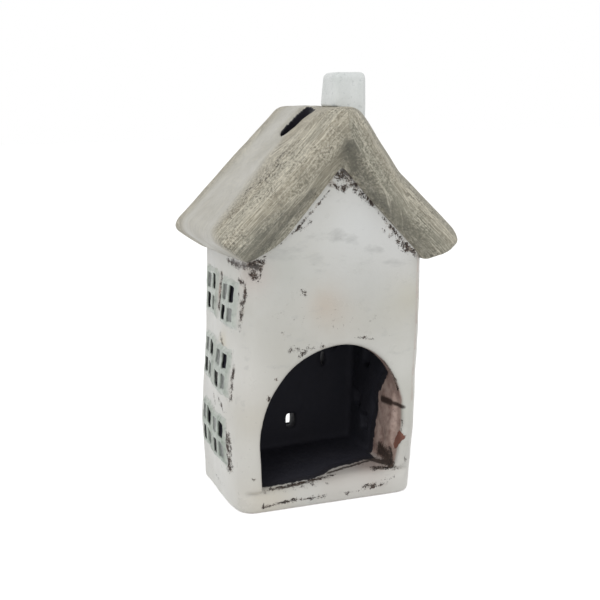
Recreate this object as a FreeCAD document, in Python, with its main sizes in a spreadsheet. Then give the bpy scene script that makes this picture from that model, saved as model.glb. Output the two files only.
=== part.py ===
import FreeCAD, Part
import math
import os

import Sketcher
from FreeCAD import Vector

# A hand-built earthenware tealight house, in millimetres. Its front, with the arch that a tealight
# goes in through, faces -Y; +Z is up, and the origin is on the table under the middle of the base.
# The house is crooked on purpose: its walls lean, its gable peaks right of the middle, and its base
# is thicker on the right. It is built from slabs of clay that are luted together edge to edge: a
# base, two gable walls with rounded corners, two side walls between them, two thick roof slopes,
# a chimney, and thin window and door plaques whose open panes run through the wall behind them.

doc = FreeCAD.newDocument("tealight_house")

# ---------------------------------------------------------------- driving dimensions

SIZES = [
    # the crooked box of the house
    ("base_width", 76.0, "outside width of the base, left to right"),
    ("depth", 61.0, "outside depth of the walls, front to back"),
    ("left_lean", 2.26, "lean of the left wall from upright, degrees"),
    ("right_lean", 4.3, "lean of the right wall from upright, degrees"),
    ("corner_radius", 6.5, "rounding of the four upright corners"),
    ("base_left", 8.7, "thickness of the base at its left edge"),
    ("base_right", 11.7, "thickness of the base at its right edge"),
    ("foot_radius", 1.2, "rounding of the base's foot"),
    ("gable_thickness", 7.5, "thickness of the front and back walls"),
    ("side_thickness", 7.0, "thickness of the left and right walls"),
    # the line where the roof sits on the walls
    ("left_eave", 105.3, "height of the left wall's outer face"),
    ("right_eave", 101.5, "height of the right wall's outer face"),
    ("gable_top", 142.0, "height of the gable's point"),
    ("ridge_shift", 8.3, "distance of the ridge to the right of the middle"),
    ("knee_run", 22.3, "run of the straight left rake, from the ridge to its knee"),
    ("rake_angle", 48.5, "steepness of that straight rake, degrees"),
    # the roof
    ("ridge_height", 166.8, "height of the ridge's crest"),
    ("left_crest_radius", 13.1, "rounding of the crest on the left"),
    ("right_crest_radius", 14.7, "rounding of the crest on the right"),
    ("left_slope", 44.6, "steepness of the left slope's top, degrees"),
    ("right_slope", 56.3, "steepness of the right slope's top above its flare, degrees"),
    ("flare_slope", 44.4, "steepness of the right slope's top below its flare, degrees"),
    ("flare_run", 25.9, "run from the ridge to the middle of the flare"),
    ("flare_radius", 60.0, "radius of the flare"),
    ("left_overhang", 14.5, "reach of the left eave past its wall"),
    ("right_overhang", 17.2, "reach of the right eave past its wall"),
    ("front_overhang", 8.0, "reach of the roof past the front wall"),
    ("back_overhang", 9.0, "reach of the roof past the back wall"),
    ("tip_radius", 5.0, "rounding of the eave tips"),
    ("verge_radius", 11.5, "rounding of the roof's front and back edges"),
    ("verge_straight", 1.0, "height of a verge's straight face under its rounding"),
    ("verge_draw_in", 7.0, "height over which a verge draws in again to the wall's face"),
    ("roof_thickness", 9.0, "thickness of the clay over the hollow of the roof"),
    # the arch
    ("crown_shift", 7.5, "distance of the arch's crown to the right of the middle"),
    ("crown_height", 68.2, "height of the arch's crown"),
    ("left_reach", 36.7, "width of the arch left of its crown"),
    ("left_rise", 40.2, "rise of the arch's left curve to the crown"),
    ("right_reach", 27.4, "width of the arch right of its crown"),
    ("right_rise", 30.1, "rise of the arch's right curve to the crown"),
    ("left_splay", 0.7, "inward lean of the left jamb at its foot"),
    ("right_splay", 4.7, "inward curve of the right jamb at its foot"),
    ("arch_softening", 1.2, "rounding of the arch's front edge"),
    # the smoke vent, a leaf-shaped hole in the left slope
    ("vent_length", 20.5, "length of the vent, tip to tip"),
    ("vent_width", 9.6, "width of the vent in the middle"),
    ("vent_turn", 54.0, "turn of the vent away from the ridge's square, degrees"),
    ("vent_offset", 10.4, "distance of the vent's middle from the ridge"),
    ("vent_setback", 24.5, "distance of the vent's middle from the front wall's face"),
    # the chimney
    ("chimney_width", 15.3, "width of the chimney, left to right"),
    ("chimney_depth", 15.0, "depth of the chimney, front to back"),
    ("chimney_top", 180.6, "height of the chimney's top"),
    ("chimney_setback", 9.0, "distance of the chimney from the front wall's face"),
    ("chimney_edge", 2.4, "rounding of the chimney's edges"),
    # the plaques
    ("plaque_thickness", 1.3, "thickness of a window or door plaque"),
    ("plaque_edge", 0.4, "rounding of a plaque's outer rim"),
    ("plaque_height", 22.6, "height of a window plaque"),
    ("pane_width", 6.2, "width of a window pane"),
    ("pane_height", 6.5, "height of a window pane"),
    ("bar_width", 2.8, "width of a glazing bar"),
    ("pane_recess", 0.8, "depth of a closed pane"),
    ("pane_clearance", 0.2, "how far the hole in the wall stands back from an open pane, all round"),
    ("top_row", 87.5, "height of the middle of the top windows"),
    ("middle_row", 57.4, "height of the middle of the middle windows"),
    ("bottom_row", 27.2, "height of the middle of the bottom windows"),
    ("top_window", 22.4, "width of a top window"),
    ("middle_window", 21.2, "width of a middle window"),
    ("bottom_window", 19.6, "width of a bottom window"),
    ("top_spread", 12.15, "distance of a top window's middle from the middle of its pair"),
    ("middle_spread", 11.1, "distance of a middle window's middle from the middle of its pair"),
    ("bottom_spread", 10.2, "distance of a bottom window's middle from the middle of its pair"),
    ("top_shift", -0.25, "distance of the top pairs' middle behind the middle of the wall"),
    ("middle_shift", 0.8, "distance of the middle pairs' middle behind the middle of the wall"),
    ("bottom_shift", 0.9, "distance of the bottom pairs' middle behind the middle of the wall"),
    ("back_lower_row", 54.0, "height of the middle of the back wall's lower windows"),
    ("back_spread", 20.2, "distance of the back wall's windows from the wall's middle line"),
    ("slit_width", 3.2, "width of a pane in the back wall's slim windows"),
    ("slit_bar", 1.4, "height of their level glazing bar"),
    ("slim_frame", 3.9, "width of the frame round a slim window's panes"),
    ("door_shift", 3.5, "distance of the door's middle to the right of the house's middle"),
    ("door_width", 14.6, "width of the door plaque"),
    ("door_height", 30.0, "height of the door plaque"),
    ("door_foot", 4.0, "height of the door plaque's foot above the table"),
    ("door_panel", 8.0, "height of the door's closed panel"),
    ("light_height", 22.2, "height of the middle of the door's open light"),
]

# ---------------------------------------------------------------- places worked out from them

QUARTER = "cos(45)"  # the haunch of each arch quarter lies at 45 degrees round its ellipse


def arc_from_spring(reach, rise):
    """Radius of the arc that leaves a springing upright and ends at the haunch."""
    across = f"({reach} * (1 - {QUARTER}))"
    up = f"({rise} * {QUARTER})"
    return f"({across} ^ 2 + {up} ^ 2) / (2 * {across})"


def arc_to_crown(reach, rise):
    """Radius of the arc that leaves the haunch and ends level at the crown."""
    across = f"({reach} * {QUARTER})"
    up = f"({rise} * (1 - {QUARTER}))"
    return f"({across} ^ 2 + {up} ^ 2) / (2 * {up})"


PLACES = [
    ("left_foot", "-size.base_width / 2"),
    ("right_foot", "size.base_width / 2"),
    ("front_face", "-size.depth / 2"),
    ("verge_front", "place.front_face - size.front_overhang"),
    ("verge_back", "size.back_overhang - place.front_face"),
    ("verge_shoulder", "size.verge_radius + size.verge_straight"),
    ("verge_depth", "place.verge_shoulder + size.verge_draw_in"),
    # the rounding of the upright corners stays within the front and back walls
    ("corner", "min(size.corner_radius; size.gable_thickness - 0.2)"),
    # the base's top runs straight from one leaning wall to the other
    ("base_left_x", "place.left_foot + size.base_left * tan(size.left_lean)"),
    ("base_right_x", "place.right_foot + size.base_right * tan(size.right_lean)"),
    ("base_pitch", "(size.base_right - size.base_left) / (place.base_right_x - place.base_left_x)"),
    # the eaves, the knee and the gable's point
    ("left_eave_x", "place.left_foot + size.left_eave * tan(size.left_lean)"),
    ("right_eave_x", "place.right_foot + size.right_eave * tan(size.right_lean)"),
    ("knee_x", "size.ridge_shift - size.knee_run"),
    ("knee_z", "size.gable_top - size.knee_run * tan(size.rake_angle)"),
    ("right_rake", "(size.gable_top - size.right_eave) / (place.right_eave_x - size.ridge_shift)"),
    # the sweep from the knee to the left eave: an arc that leaves the rake without a corner
    ("sweep_x", "place.knee_x - place.left_eave_x"),
    ("sweep_z", "place.knee_z - size.left_eave"),
    ("sweep_lift", "place.sweep_x * sin(size.rake_angle) - place.sweep_z * cos(size.rake_angle)"),
    ("sweep_radius", "(place.sweep_x ^ 2 + place.sweep_z ^ 2) / (2 * place.sweep_lift)"),
    ("sweep_middle_x", "place.knee_x - place.sweep_radius * sin(size.rake_angle)"),
    ("sweep_middle_z", "place.knee_z + place.sweep_radius * cos(size.rake_angle)"),
    # the side walls' inner faces, at the base and under the roof
    ("inner_left_x", "place.base_left_x + size.side_thickness"),
    ("inner_right_x", "place.base_right_x - size.side_thickness"),
    ("left_top_x", "place.left_eave_x + size.side_thickness"),
    ("left_top_reach", "place.left_top_x - place.sweep_middle_x"),
    ("left_top_z", "place.sweep_middle_z - sqrt(place.sweep_radius ^ 2 - place.left_top_reach ^ 2)"),
    ("right_top_x", "place.right_eave_x - size.side_thickness"),
    ("right_top_z", "size.right_eave + size.side_thickness * place.right_rake"),
    # the tops of the roof slopes, from the crest's arc down to the eave tips
    ("left_peak", "size.ridge_height + size.left_crest_radius * (1 / cos(size.left_slope) - 1)"),
    ("right_peak", "size.ridge_height + size.right_crest_radius * (1 / cos(size.right_slope) - 1)"),
    ("left_crest_x", "size.ridge_shift - size.left_crest_radius * sin(size.left_slope)"),
    ("left_crest_z", "size.ridge_height - size.left_crest_radius * (1 - cos(size.left_slope))"),
    ("right_crest_x", "size.ridge_shift + size.right_crest_radius * sin(size.right_slope)"),
    ("right_crest_z", "size.ridge_height - size.right_crest_radius * (1 - cos(size.right_slope))"),
    ("left_tip_x", "place.left_eave_x - size.left_overhang"),
    ("left_tip_z", "place.left_peak - (size.ridge_shift - place.left_tip_x) * tan(size.left_slope)"),
    ("flare_x", "size.ridge_shift + size.flare_run"),
    ("flare_z", "place.right_peak - size.flare_run * tan(size.right_slope)"),
    ("flare_reach", "size.flare_radius * tan((size.right_slope - size.flare_slope) / 2)"),
    ("flare_top_x", "place.flare_x - place.flare_reach * cos(size.right_slope)"),
    ("flare_top_z", "place.flare_z + place.flare_reach * sin(size.right_slope)"),
    ("flare_foot_x", "place.flare_x + place.flare_reach * cos(size.flare_slope)"),
    ("flare_foot_z", "place.flare_z - place.flare_reach * sin(size.flare_slope)"),
    ("right_tip_x", "place.right_eave_x + size.right_overhang"),
    ("right_tip_z", "place.flare_z - (place.right_tip_x - place.flare_x) * tan(size.flare_slope)"),
    # the arch: its feet on the base, its springings, and the haunch of each quarter
    ("left_spring_x", "size.crown_shift - size.left_reach"),
    ("left_spring_z", "size.crown_height - size.left_rise"),
    ("left_haunch_x", f"size.crown_shift - size.left_reach * {QUARTER}"),
    ("left_haunch_z", f"place.left_spring_z + size.left_rise * {QUARTER}"),
    ("right_spring_x", "size.crown_shift + size.right_reach"),
    ("right_spring_z", "size.crown_height - size.right_rise"),
    ("right_haunch_x", f"size.crown_shift + size.right_reach * {QUARTER}"),
    ("right_haunch_z", f"place.right_spring_z + size.right_rise * {QUARTER}"),
    ("left_sill_x", "place.left_spring_x + size.left_splay"),
    ("right_sill_x", "place.right_spring_x - size.right_splay"),
    ("sill_below", "size.base_left - 2"),
    ("left_side_arc", arc_from_spring("size.left_reach", "size.left_rise")),
    ("left_top_arc", arc_to_crown("size.left_reach", "size.left_rise")),
    ("right_side_arc", arc_from_spring("size.right_reach", "size.right_rise")),
    ("right_top_arc", arc_to_crown("size.right_reach", "size.right_rise")),
    ("jamb_rise", "place.right_spring_z - place.sill_below"),
    ("right_jamb_arc", "(size.right_splay ^ 2 + place.jamb_rise ^ 2) / (2 * size.right_splay)"),
    # the hollow under each roof slope
    ("left_hollow_peak", "place.left_peak - size.roof_thickness / cos(size.left_slope)"),
    ("left_hollow_run", "size.ridge_shift - place.left_top_x"),
    ("left_hollow_z", "place.left_hollow_peak - place.left_hollow_run * tan(size.left_slope)"),
    ("right_hollow_peak", "place.right_peak - size.roof_thickness / cos(size.right_slope)"),
    ("right_hollow_knee", "place.right_hollow_peak - size.flare_run * tan(size.right_slope)"),
    ("right_hollow_run", "place.right_top_x - place.flare_x"),
    ("right_hollow_z", "place.right_hollow_knee - place.right_hollow_run * tan(size.flare_slope)"),
    ("hollow_foot", "min(size.left_eave; size.right_eave) - 5"),
    # the vent, seen from above
    ("vent_x", "size.ridge_shift - size.vent_offset"),
    ("vent_y", "place.front_face + size.vent_setback"),
    ("vent_half_x", "size.vent_length / 2 * cos(size.vent_turn)"),
    ("vent_half_y", "size.vent_length / 2 * sin(size.vent_turn)"),
    ("vent_arc", "(size.vent_length ^ 2 / 4 + size.vent_width ^ 2 / 4) / size.vent_width"),
    # the chimney's foot, on the right slope
    ("chimney_right_x", "size.ridge_shift + size.chimney_width"),
    ("chimney_foot_z", "place.right_peak - size.chimney_width * tan(size.right_slope)"),
    # the middle line between the leaning walls, at each row of windows
    ("mean_lean", "(tan(size.left_lean) + tan(size.right_lean)) / 2"),
    ("upper_middle", "size.top_row * place.mean_lean"),
    ("lower_middle", "size.back_lower_row * place.mean_lean"),
    # the panes of a plaque, from its middle, and the holes behind the open ones
    ("pane_pitch_x", "(size.pane_width + size.bar_width) / 2"),
    ("pane_pitch_z", "(size.pane_height + size.bar_width) / 2"),
    ("hole_width", "size.pane_width + 2 * size.pane_clearance"),
    ("hole_height", "size.pane_height + 2 * size.pane_clearance"),
    ("slit_pitch_x", "(size.slit_width + size.bar_width) / 2"),
    ("slit_pitch_z", "(size.pane_height + size.slit_bar) / 2"),
    ("slit_hole_width", "size.slit_width + 2 * size.pane_clearance"),
    ("slim_window", "2 * size.slit_width + size.bar_width + 2 * size.slim_frame"),
    ("slim_height", "2 * size.pane_height + size.slit_bar + 2 * size.slim_frame"),
]


def add_sheet(name, rows):
    """A spreadsheet with one aliased cell in column B for each (alias, text, note) row."""
    sheet = doc.addObject("Spreadsheet::Sheet", name)
    for row, (alias, text, note) in enumerate(rows, start=1):
        sheet.set(f"A{row}", note)
        sheet.set(f"B{row}", text)
        sheet.setAlias(f"B{row}", alias)
    doc.recompute()
    return sheet


size = add_sheet("size", [(alias, str(value), note) for alias, value, note in SIZES])
place = add_sheet("place", [(alias, "=" + text.replace("place.", ""), "worked out")
                            for alias, text in PLACES])


# ---------------------------------------------------------------- sketching and features

def new_body(name):
    body = doc.addObject("PartDesign::Body", name)
    body.Label = name
    return body


def new_sketch(body, name, plane, lift="0"):
    """A sketch on one of the body's own origin planes, lifted along that plane's normal."""
    sketch = body.newObject("Sketcher::SketchObject", f"{body.Name}_{name}")
    origin_plane = [item for item in body.Origin.OriginFeatures if item.Role == f"{plane}_Plane"][0]
    sketch.AttachmentSupport = [(origin_plane, "")]
    sketch.MapMode = "FlatFace"
    sketch.setExpression(".AttachmentOffset.Base.z", lift)
    return sketch


def measure(expression):
    """The number that an expression on the sheets comes to."""
    return float(size.evalExpression(expression))


def arc_middle(start, end, radius, side):
    """The middle of an arc from start to end that bulges to the left (side 1) or right (-1)."""
    chord = end - start
    half = chord.Length / 2
    height = radius - math.sqrt(radius * radius - half * half)
    across = Vector(-chord.y, chord.x, 0).normalize()
    return (start + end) * 0.5 + across * (side * height)


def bind(sketch, constraint, expression):
    index = sketch.addConstraint(constraint)
    sketch.setExpression(f"Constraints[{index}]", expression)


def draw_loop(sketch, corners):
    """A closed loop through corners, each (x, y, bend): x and y are expressions that pin the corner,
    and bend, where the run to the next corner isn't straight, is (radius expression, side)."""
    spots = [Vector(measure(x), measure(y), 0) for x, y, bend in corners]
    runs = []
    for number, (x, y, bend) in enumerate(corners):
        start = spots[number]
        end = spots[(number + 1) % len(spots)]
        if bend is None:
            edge = sketch.addGeometry(Part.LineSegment(start, end), False)
        else:
            middle = arc_middle(start, end, measure(bend[0]), bend[1])
            edge = sketch.addGeometry(Part.Arc(start, middle, end), False)
        starts_first = (sketch.getPoint(edge, 1) - start).Length < 1e-6
        runs.append((edge, 1 if starts_first else 2, 2 if starts_first else 1))
    for number, (x, y, bend) in enumerate(corners):
        edge, first, last = runs[number]
        following, following_first, _ = runs[(number + 1) % len(runs)]
        sketch.addConstraint(Sketcher.Constraint("Coincident", edge, last, following, following_first))
        bind(sketch, Sketcher.Constraint("DistanceX", -1, 1, edge, first, spots[number].x), x)
        bind(sketch, Sketcher.Constraint("DistanceY", -1, 1, edge, first, spots[number].y), y)
        if bend is not None:
            bind(sketch, Sketcher.Constraint("Radius", edge, measure(bend[0])), bend[0])


def draw_rectangle(sketch, middle_x, middle_y, width, height):
    """An upright rectangle, from expressions for its middle and its sides."""
    left = f"({middle_x}) - ({width}) / 2"
    right = f"({middle_x}) + ({width}) / 2"
    low = f"({middle_y}) - ({height}) / 2"
    high = f"({middle_y}) + ({height}) / 2"
    draw_loop(sketch, [(left, low, None), (right, low, None), (right, high, None), (left, high, None)])


def settle(feature):
    """Works the document out again and stops at a feature that failed."""
    doc.recompute()
    if "Invalid" in feature.State or "Error" in feature.State:
        raise ValueError(f"{feature.Label}: {feature.State} {feature.getStatusString()}")
    return feature


def add_pad(body, sketch, length, midplane=False):
    pad = body.newObject("PartDesign::Pad", f"{body.Name}_pad")
    pad.Profile = sketch
    pad.Midplane = midplane
    pad.setExpression("Length", length)
    return settle(pad)


def add_pocket(body, sketch, name, length, midplane=False, reversed_way=False, direction=None):
    """A pocket that must take some clay away. It runs square to its sketch, or along a direction
    given as three expressions."""
    before = body.Shape.Volume
    pocket = body.newObject("PartDesign::Pocket", f"{body.Name}_{name}")
    pocket.Profile = sketch
    pocket.Midplane = midplane
    pocket.Reversed = reversed_way
    pocket.setExpression("Length", length)
    if direction is not None:
        pocket.UseCustomVector = True
        pocket.AlongSketchNormal = False
        pocket.Direction = Vector(*[measure(part) for part in direction])
        for axis, part in zip("xyz", direction):
            pocket.setExpression(f"Direction.{axis}", part)
    settle(pocket)
    if not body.Shape.Volume < before - 1e-6:
        raise ValueError(f"{body.Name}: {name} cuts nothing")
    return pocket


def edges_where(feature, test):
    """The names of the feature's edges whose two ends both pass the test."""
    names = []
    for number, edge in enumerate(feature.Shape.Edges, start=1):
        if all(test(vertex.Point) for vertex in edge.Vertexes):
            names.append(f"Edge{number}")
    return names


def add_fillet(body, name, feature, edges, radius):
    fillet = body.newObject("PartDesign::Fillet", f"{body.Name}_{name}")
    fillet.Base = (feature, edges)
    fillet.setExpression("Radius", radius)
    return settle(fillet)


# ---------------------------------------------------------------- base

def make_base_slab():
    """The slab that the walls stand on; in the arch its top is the sill and the chamber's floor."""
    body = new_body("base_slab")
    sketch = new_sketch(body, "profile", "XZ")
    draw_loop(sketch, [
        ("place.left_foot", "0", None),
        ("place.right_foot", "0", None),
        ("place.base_right_x", "size.base_right", None),
        ("place.base_left_x", "size.base_left", None),
    ])
    pad = add_pad(body, sketch, "size.depth", midplane=True)
    upright = [f"Edge{number}" for number, edge in enumerate(pad.Shape.Edges, start=1)
               if abs(edge.BoundBox.ZLength) > 1 and edge.BoundBox.YLength < 1e-6]
    corners = add_fillet(body, "corners", pad, upright, "place.corner")
    foot = edges_where(corners, lambda point: abs(point.z) < 1e-6)
    add_fillet(body, "foot", corners, foot, "size.foot_radius")
    return body


# ---------------------------------------------------------------- walls

GABLE_OUTLINE = [
    ("place.base_left_x", "size.base_left", None),
    ("place.base_right_x", "size.base_right", None),
    ("place.right_eave_x", "size.right_eave", None),
    ("size.ridge_shift", "size.gable_top", None),
    ("place.knee_x", "place.knee_z", ("place.sweep_radius", 1)),
    ("place.left_eave_x", "size.left_eave", None),
]

ARCH_OUTLINE = [
    ("place.left_sill_x", "place.sill_below", None),
    ("place.right_sill_x", "place.sill_below", ("place.right_jamb_arc", -1)),
    ("place.right_spring_x", "place.right_spring_z", ("place.right_side_arc", -1)),
    ("place.right_haunch_x", "place.right_haunch_z", ("place.right_top_arc", -1)),
    ("size.crown_shift", "size.crown_height", ("place.left_top_arc", -1)),
    ("place.left_haunch_x", "place.left_haunch_z", ("place.left_side_arc", -1)),
    ("place.left_spring_x", "place.left_spring_z", None),
]


def make_gable(name, back_y, outer_y):
    """A gable wall, from its back plane forward by its thickness, with its outer corners rounded."""
    body = new_body(name)
    body.setExpression(".Placement.Base.y", back_y)
    sketch = new_sketch(body, "outline", "XZ")
    draw_loop(sketch, GABLE_OUTLINE)
    pad = add_pad(body, sketch, "size.gable_thickness")
    level = measure(outer_y)
    sides = []
    for number, edge in enumerate(pad.Shape.Edges, start=1):
        middle = edge.CenterOfMass
        on_outer_face = edge.BoundBox.YLength < 1e-6 and abs(middle.y - level) < 1e-6
        steep = edge.BoundBox.ZLength > 3 * edge.BoundBox.XLength
        if on_outer_face and steep:
            sides.append(f"Edge{number}")
    add_fillet(body, "corners", pad, sides, "place.corner")
    return body


def make_front_gable():
    """The front wall, with the arch cut down to the base; the arch's front edge is softened."""
    body = make_gable("front_gable_wall", "place.front_face + size.gable_thickness",
                      "-size.gable_thickness")
    sketch = new_sketch(body, "arch", "XZ")
    draw_loop(sketch, ARCH_OUTLINE)
    arch = add_pocket(body, sketch, "arch_cut", "size.gable_thickness * 3", midplane=True)
    front = -measure("size.gable_thickness")
    crown = measure("size.crown_height")
    lip = []
    for number, edge in enumerate(arch.Shape.Edges, start=1):
        box = edge.BoundBox
        on_front = box.YLength < 1e-6 and abs(box.YMin - front) < 1e-6
        in_arch = box.ZMax < crown + 1e-3 and box.XMin > measure("place.left_spring_x") - 1e-3
        in_arch = in_arch and box.XMax < measure("place.right_spring_x") + 1e-3
        if on_front and in_arch and box.ZLength > 1:
            lip.append(f"Edge{number}")
    add_fillet(body, "arch_lip", arch, lip, "size.arch_softening")
    return body


# The windows of the side walls: row height, plaque width, and the middle and spread of each pair.
ROWS = [
    ("top", "size.top_row", "size.top_window", "size.top_shift", "size.top_spread"),
    ("middle", "size.middle_row", "size.middle_window", "size.middle_shift", "size.middle_spread"),
    ("bottom", "size.bottom_row", "size.bottom_window", "size.bottom_shift", "size.bottom_spread"),
]


WIDE_PITCH = ("place.pane_pitch_x", "place.pane_pitch_z")
SLIM_PITCH = ("place.slit_pitch_x", "place.slit_pitch_z")


def diagonal(middle_across, middle_up, high_side, pitch=WIDE_PITCH):
    """The middles of the two panes on one of a window's diagonals: one pane is high on high_side
    (1 or -1), and the other is low on the other side."""
    for side in (1, -1):
        across = f"{middle_across} + {side * high_side} * {pitch[0]}"
        up = f"{middle_up} + {side} * {pitch[1]}"
        yield across, up


def make_side_wall(name, corners, high_side):
    """A side wall between the gables, leaning, bevelled to the roof, pierced behind its windows."""
    body = new_body(name)
    sketch = new_sketch(body, "section", "XZ")
    draw_loop(sketch, corners)
    add_pad(body, sketch, "size.depth - 2 * size.gable_thickness", midplane=True)
    for row, height, _, shift, spread in ROWS:
        holes = new_sketch(body, f"{row}_holes", "YZ")
        for way in ("-", "+"):
            for across, up in diagonal(f"{shift} {way} {spread}", height, high_side):
                draw_rectangle(holes, across, up, "place.hole_width", "place.hole_height")
        add_pocket(body, holes, f"{row}_panes", "size.base_width * 3", midplane=True)
    return body


LEFT_SECTION = [
    ("place.base_left_x", "size.base_left", None),
    ("place.inner_left_x", "size.base_left + size.side_thickness * place.base_pitch", None),
    ("place.left_top_x", "place.left_top_z", ("place.sweep_radius", 1)),
    ("place.left_eave_x", "size.left_eave", None),
]

RIGHT_SECTION = [
    ("place.inner_right_x", "size.base_right - size.side_thickness * place.base_pitch", None),
    ("place.base_right_x", "size.base_right", None),
    ("place.right_eave_x", "size.right_eave", None),
    ("place.right_top_x", "place.right_top_z", None),
]


# The back wall's slim windows: row height, and the middle line of the wall there.
BACK_ROWS = [
    ("upper", "size.top_row", "place.upper_middle"),
    ("lower", "size.back_lower_row", "place.lower_middle"),
]


def make_back_gable():
    """The back wall, pierced behind its slim windows and behind the light in its door."""
    body = make_gable("back_gable_wall", "-place.front_face", "0")
    for row, height, middle in BACK_ROWS:
        holes = new_sketch(body, f"{row}_holes", "XZ")
        for side in (-1, 1):
            window = f"{middle} + {side} * size.back_spread"
            for across, up in diagonal(window, height, 1, SLIM_PITCH):
                draw_rectangle(holes, across, up, "place.slit_hole_width", "place.hole_height")
        add_pocket(body, holes, f"{row}_panes", "size.gable_thickness * 3", midplane=True)
    light = new_sketch(body, "light_hole", "XZ")
    draw_rectangle(light, "size.door_shift", "size.light_height",
                   "place.hole_width", "place.hole_height")
    add_pocket(body, light, "door_light", "size.gable_thickness * 3", midplane=True)
    return body


# ---------------------------------------------------------------- roof

LEFT_ROOF = [
    ("size.ridge_shift", "size.gable_top", None),
    ("size.ridge_shift", "size.ridge_height", ("size.left_crest_radius", -1)),
    ("place.left_crest_x", "place.left_crest_z", None),
    ("place.left_tip_x", "place.left_tip_z", None),
    ("place.left_eave_x", "size.left_eave", ("place.sweep_radius", -1)),
    ("place.knee_x", "place.knee_z", None),
]

RIGHT_ROOF = [
    ("size.ridge_shift", "size.gable_top", None),
    ("place.right_eave_x", "size.right_eave", None),
    ("place.right_tip_x", "place.right_tip_z", None),
    ("place.flare_foot_x", "place.flare_foot_z", ("size.flare_radius", 1)),
    ("place.flare_top_x", "place.flare_top_z", None),
    ("place.right_crest_x", "place.right_crest_z", ("size.right_crest_radius", -1)),
    ("size.ridge_shift", "size.ridge_height", None),
]

LEFT_HOLLOW = [
    ("size.ridge_shift", "place.hollow_foot", None),
    ("size.ridge_shift", "place.left_hollow_peak", None),
    ("place.left_top_x", "place.left_hollow_z", None),
    ("place.left_top_x", "place.hollow_foot", None),
]

RIGHT_HOLLOW = [
    ("size.ridge_shift", "place.hollow_foot", None),
    ("place.right_top_x", "place.hollow_foot", None),
    ("place.right_top_x", "place.right_hollow_z", None),
    ("place.flare_x", "place.right_hollow_knee", None),
    ("size.ridge_shift", "place.right_hollow_peak", None),
]


def across_slope(body, name, side, spot, slope):
    """A sketch square to a slope that runs down to the left (side -1) or right (side 1), through a
    spot (x, z) on its top. Its first axis runs from front to back, its second up and outward."""
    sketch = new_sketch(body, name, "YZ", spot[0])
    offset = sketch.AttachmentOffset
    offset.Rotation = FreeCAD.Rotation(Vector(side, 0, 0), 1)
    sketch.AttachmentOffset = offset
    sketch.setExpression(".AttachmentOffset.Base.y", spot[1])
    sketch.setExpression(".AttachmentOffset.Rotation.Angle", f"({slope}) * 1 deg")
    doc.recompute()
    return sketch


VERGE_OUTLINE = [
    ("place.verge_front", "-place.verge_shoulder", None),
    ("place.front_face", "-place.verge_depth", None),
    ("place.front_face", "-size.depth", None),
    ("-place.front_face", "-size.depth", None),
    ("-place.front_face", "-place.verge_depth", None),
    ("place.verge_back", "-place.verge_shoulder", None),
    ("place.verge_back", "-size.verge_radius", ("size.verge_radius", -1)),
    ("place.verge_back - size.verge_radius", "0", None),
    ("place.verge_front + size.verge_radius", "0", ("size.verge_radius", -1)),
    ("place.verge_front", "-size.verge_radius", None),
]


def cut_verges(body, side, spot, upper, lower):
    """Shapes both verges. The slope's top runs through the spot (x, z): above it at the upper slope
    and below it at the lower one, so the cut goes both ways from a sketch that halves the bend."""
    verges = across_slope(body, "verges", side, spot, f"({upper} + {lower}) / 2")
    draw_rectangle(verges, "0", "0", "4 * size.depth", "4 * size.depth")
    draw_loop(verges, VERGE_OUTLINE)
    for name, slope, way in (("upper", upper, -side), ("lower", lower, side)):
        direction = (f"{way} * cos({slope})", "0", f"{-way * side} * sin({slope})")
        add_pocket(body, verges, f"{name}_verges", "4 * size.base_width", direction=direction)


def make_roof_slope(name, side, outline, hollow, tip, bend):
    """One slope of the roof: a thick slab with a rounded eave tip, verges that swell out past the
    walls and draw in again to them, and a hollow underside over the chamber."""
    body = new_body(name)
    profile = new_sketch(body, "profile", "XZ", "-place.verge_back")
    draw_loop(profile, outline)
    pad = add_pad(body, profile, "place.verge_back - place.verge_front")
    tip_x, tip_z = measure(tip[0]), measure(tip[1])
    corner = edges_where(pad, lambda point: math.hypot(point.x - tip_x, point.z - tip_z) < 1e-3)
    add_fillet(body, "tip", pad, corner, "size.tip_radius")

    cut_verges(body, side, *bend)

    underside = new_sketch(body, "hollow", "XZ")
    draw_loop(underside, hollow)
    chamber_depth = "size.depth - 2 * size.gable_thickness"
    add_pocket(body, underside, "hollow_cut", chamber_depth, midplane=True)
    return body


def cut_vent(roof):
    """The smoke vent, cut straight down through the left slope: a leaf between two arcs."""
    leaf = new_sketch(roof, "vent", "XY", "size.ridge_height")
    bend = ("place.vent_arc", -1)
    draw_loop(leaf, [
        ("place.vent_x + place.vent_half_x", "place.vent_y - place.vent_half_y", bend),
        ("place.vent_x - place.vent_half_x", "place.vent_y + place.vent_half_y", bend),
    ])
    add_pocket(roof, leaf, "vent_cut", "size.ridge_height - size.left_eave")


def make_chimney():
    """The chimney, a block whose foot follows the crest and the right slope that it stands on."""
    body = new_body("chimney")
    profile = new_sketch(body, "profile", "XZ",
                         "-(place.front_face + size.chimney_setback + size.chimney_depth)")
    draw_loop(profile, [
        ("size.ridge_shift", "size.ridge_height", ("size.right_crest_radius", 1)),
        ("place.right_crest_x", "place.right_crest_z", None),
        ("place.chimney_right_x", "place.chimney_foot_z", None),
        ("place.chimney_right_x", "size.chimney_top", None),
        ("size.ridge_shift", "size.chimney_top", None),
    ])
    pad = add_pad(body, profile, "size.chimney_depth")
    top = measure("size.chimney_top")
    outer = []
    for number, edge in enumerate(pad.Shape.Edges, start=1):
        upright = edge.BoundBox.ZLength > 1 and edge.BoundBox.XLength < 1e-6
        if upright or abs(edge.BoundBox.ZMin - top) < 1e-6:
            outer.append(f"Edge{number}")
    add_fillet(body, "edges", pad, outer, "size.chimney_edge")
    return body


# ---------------------------------------------------------------- window and door plaques

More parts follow.
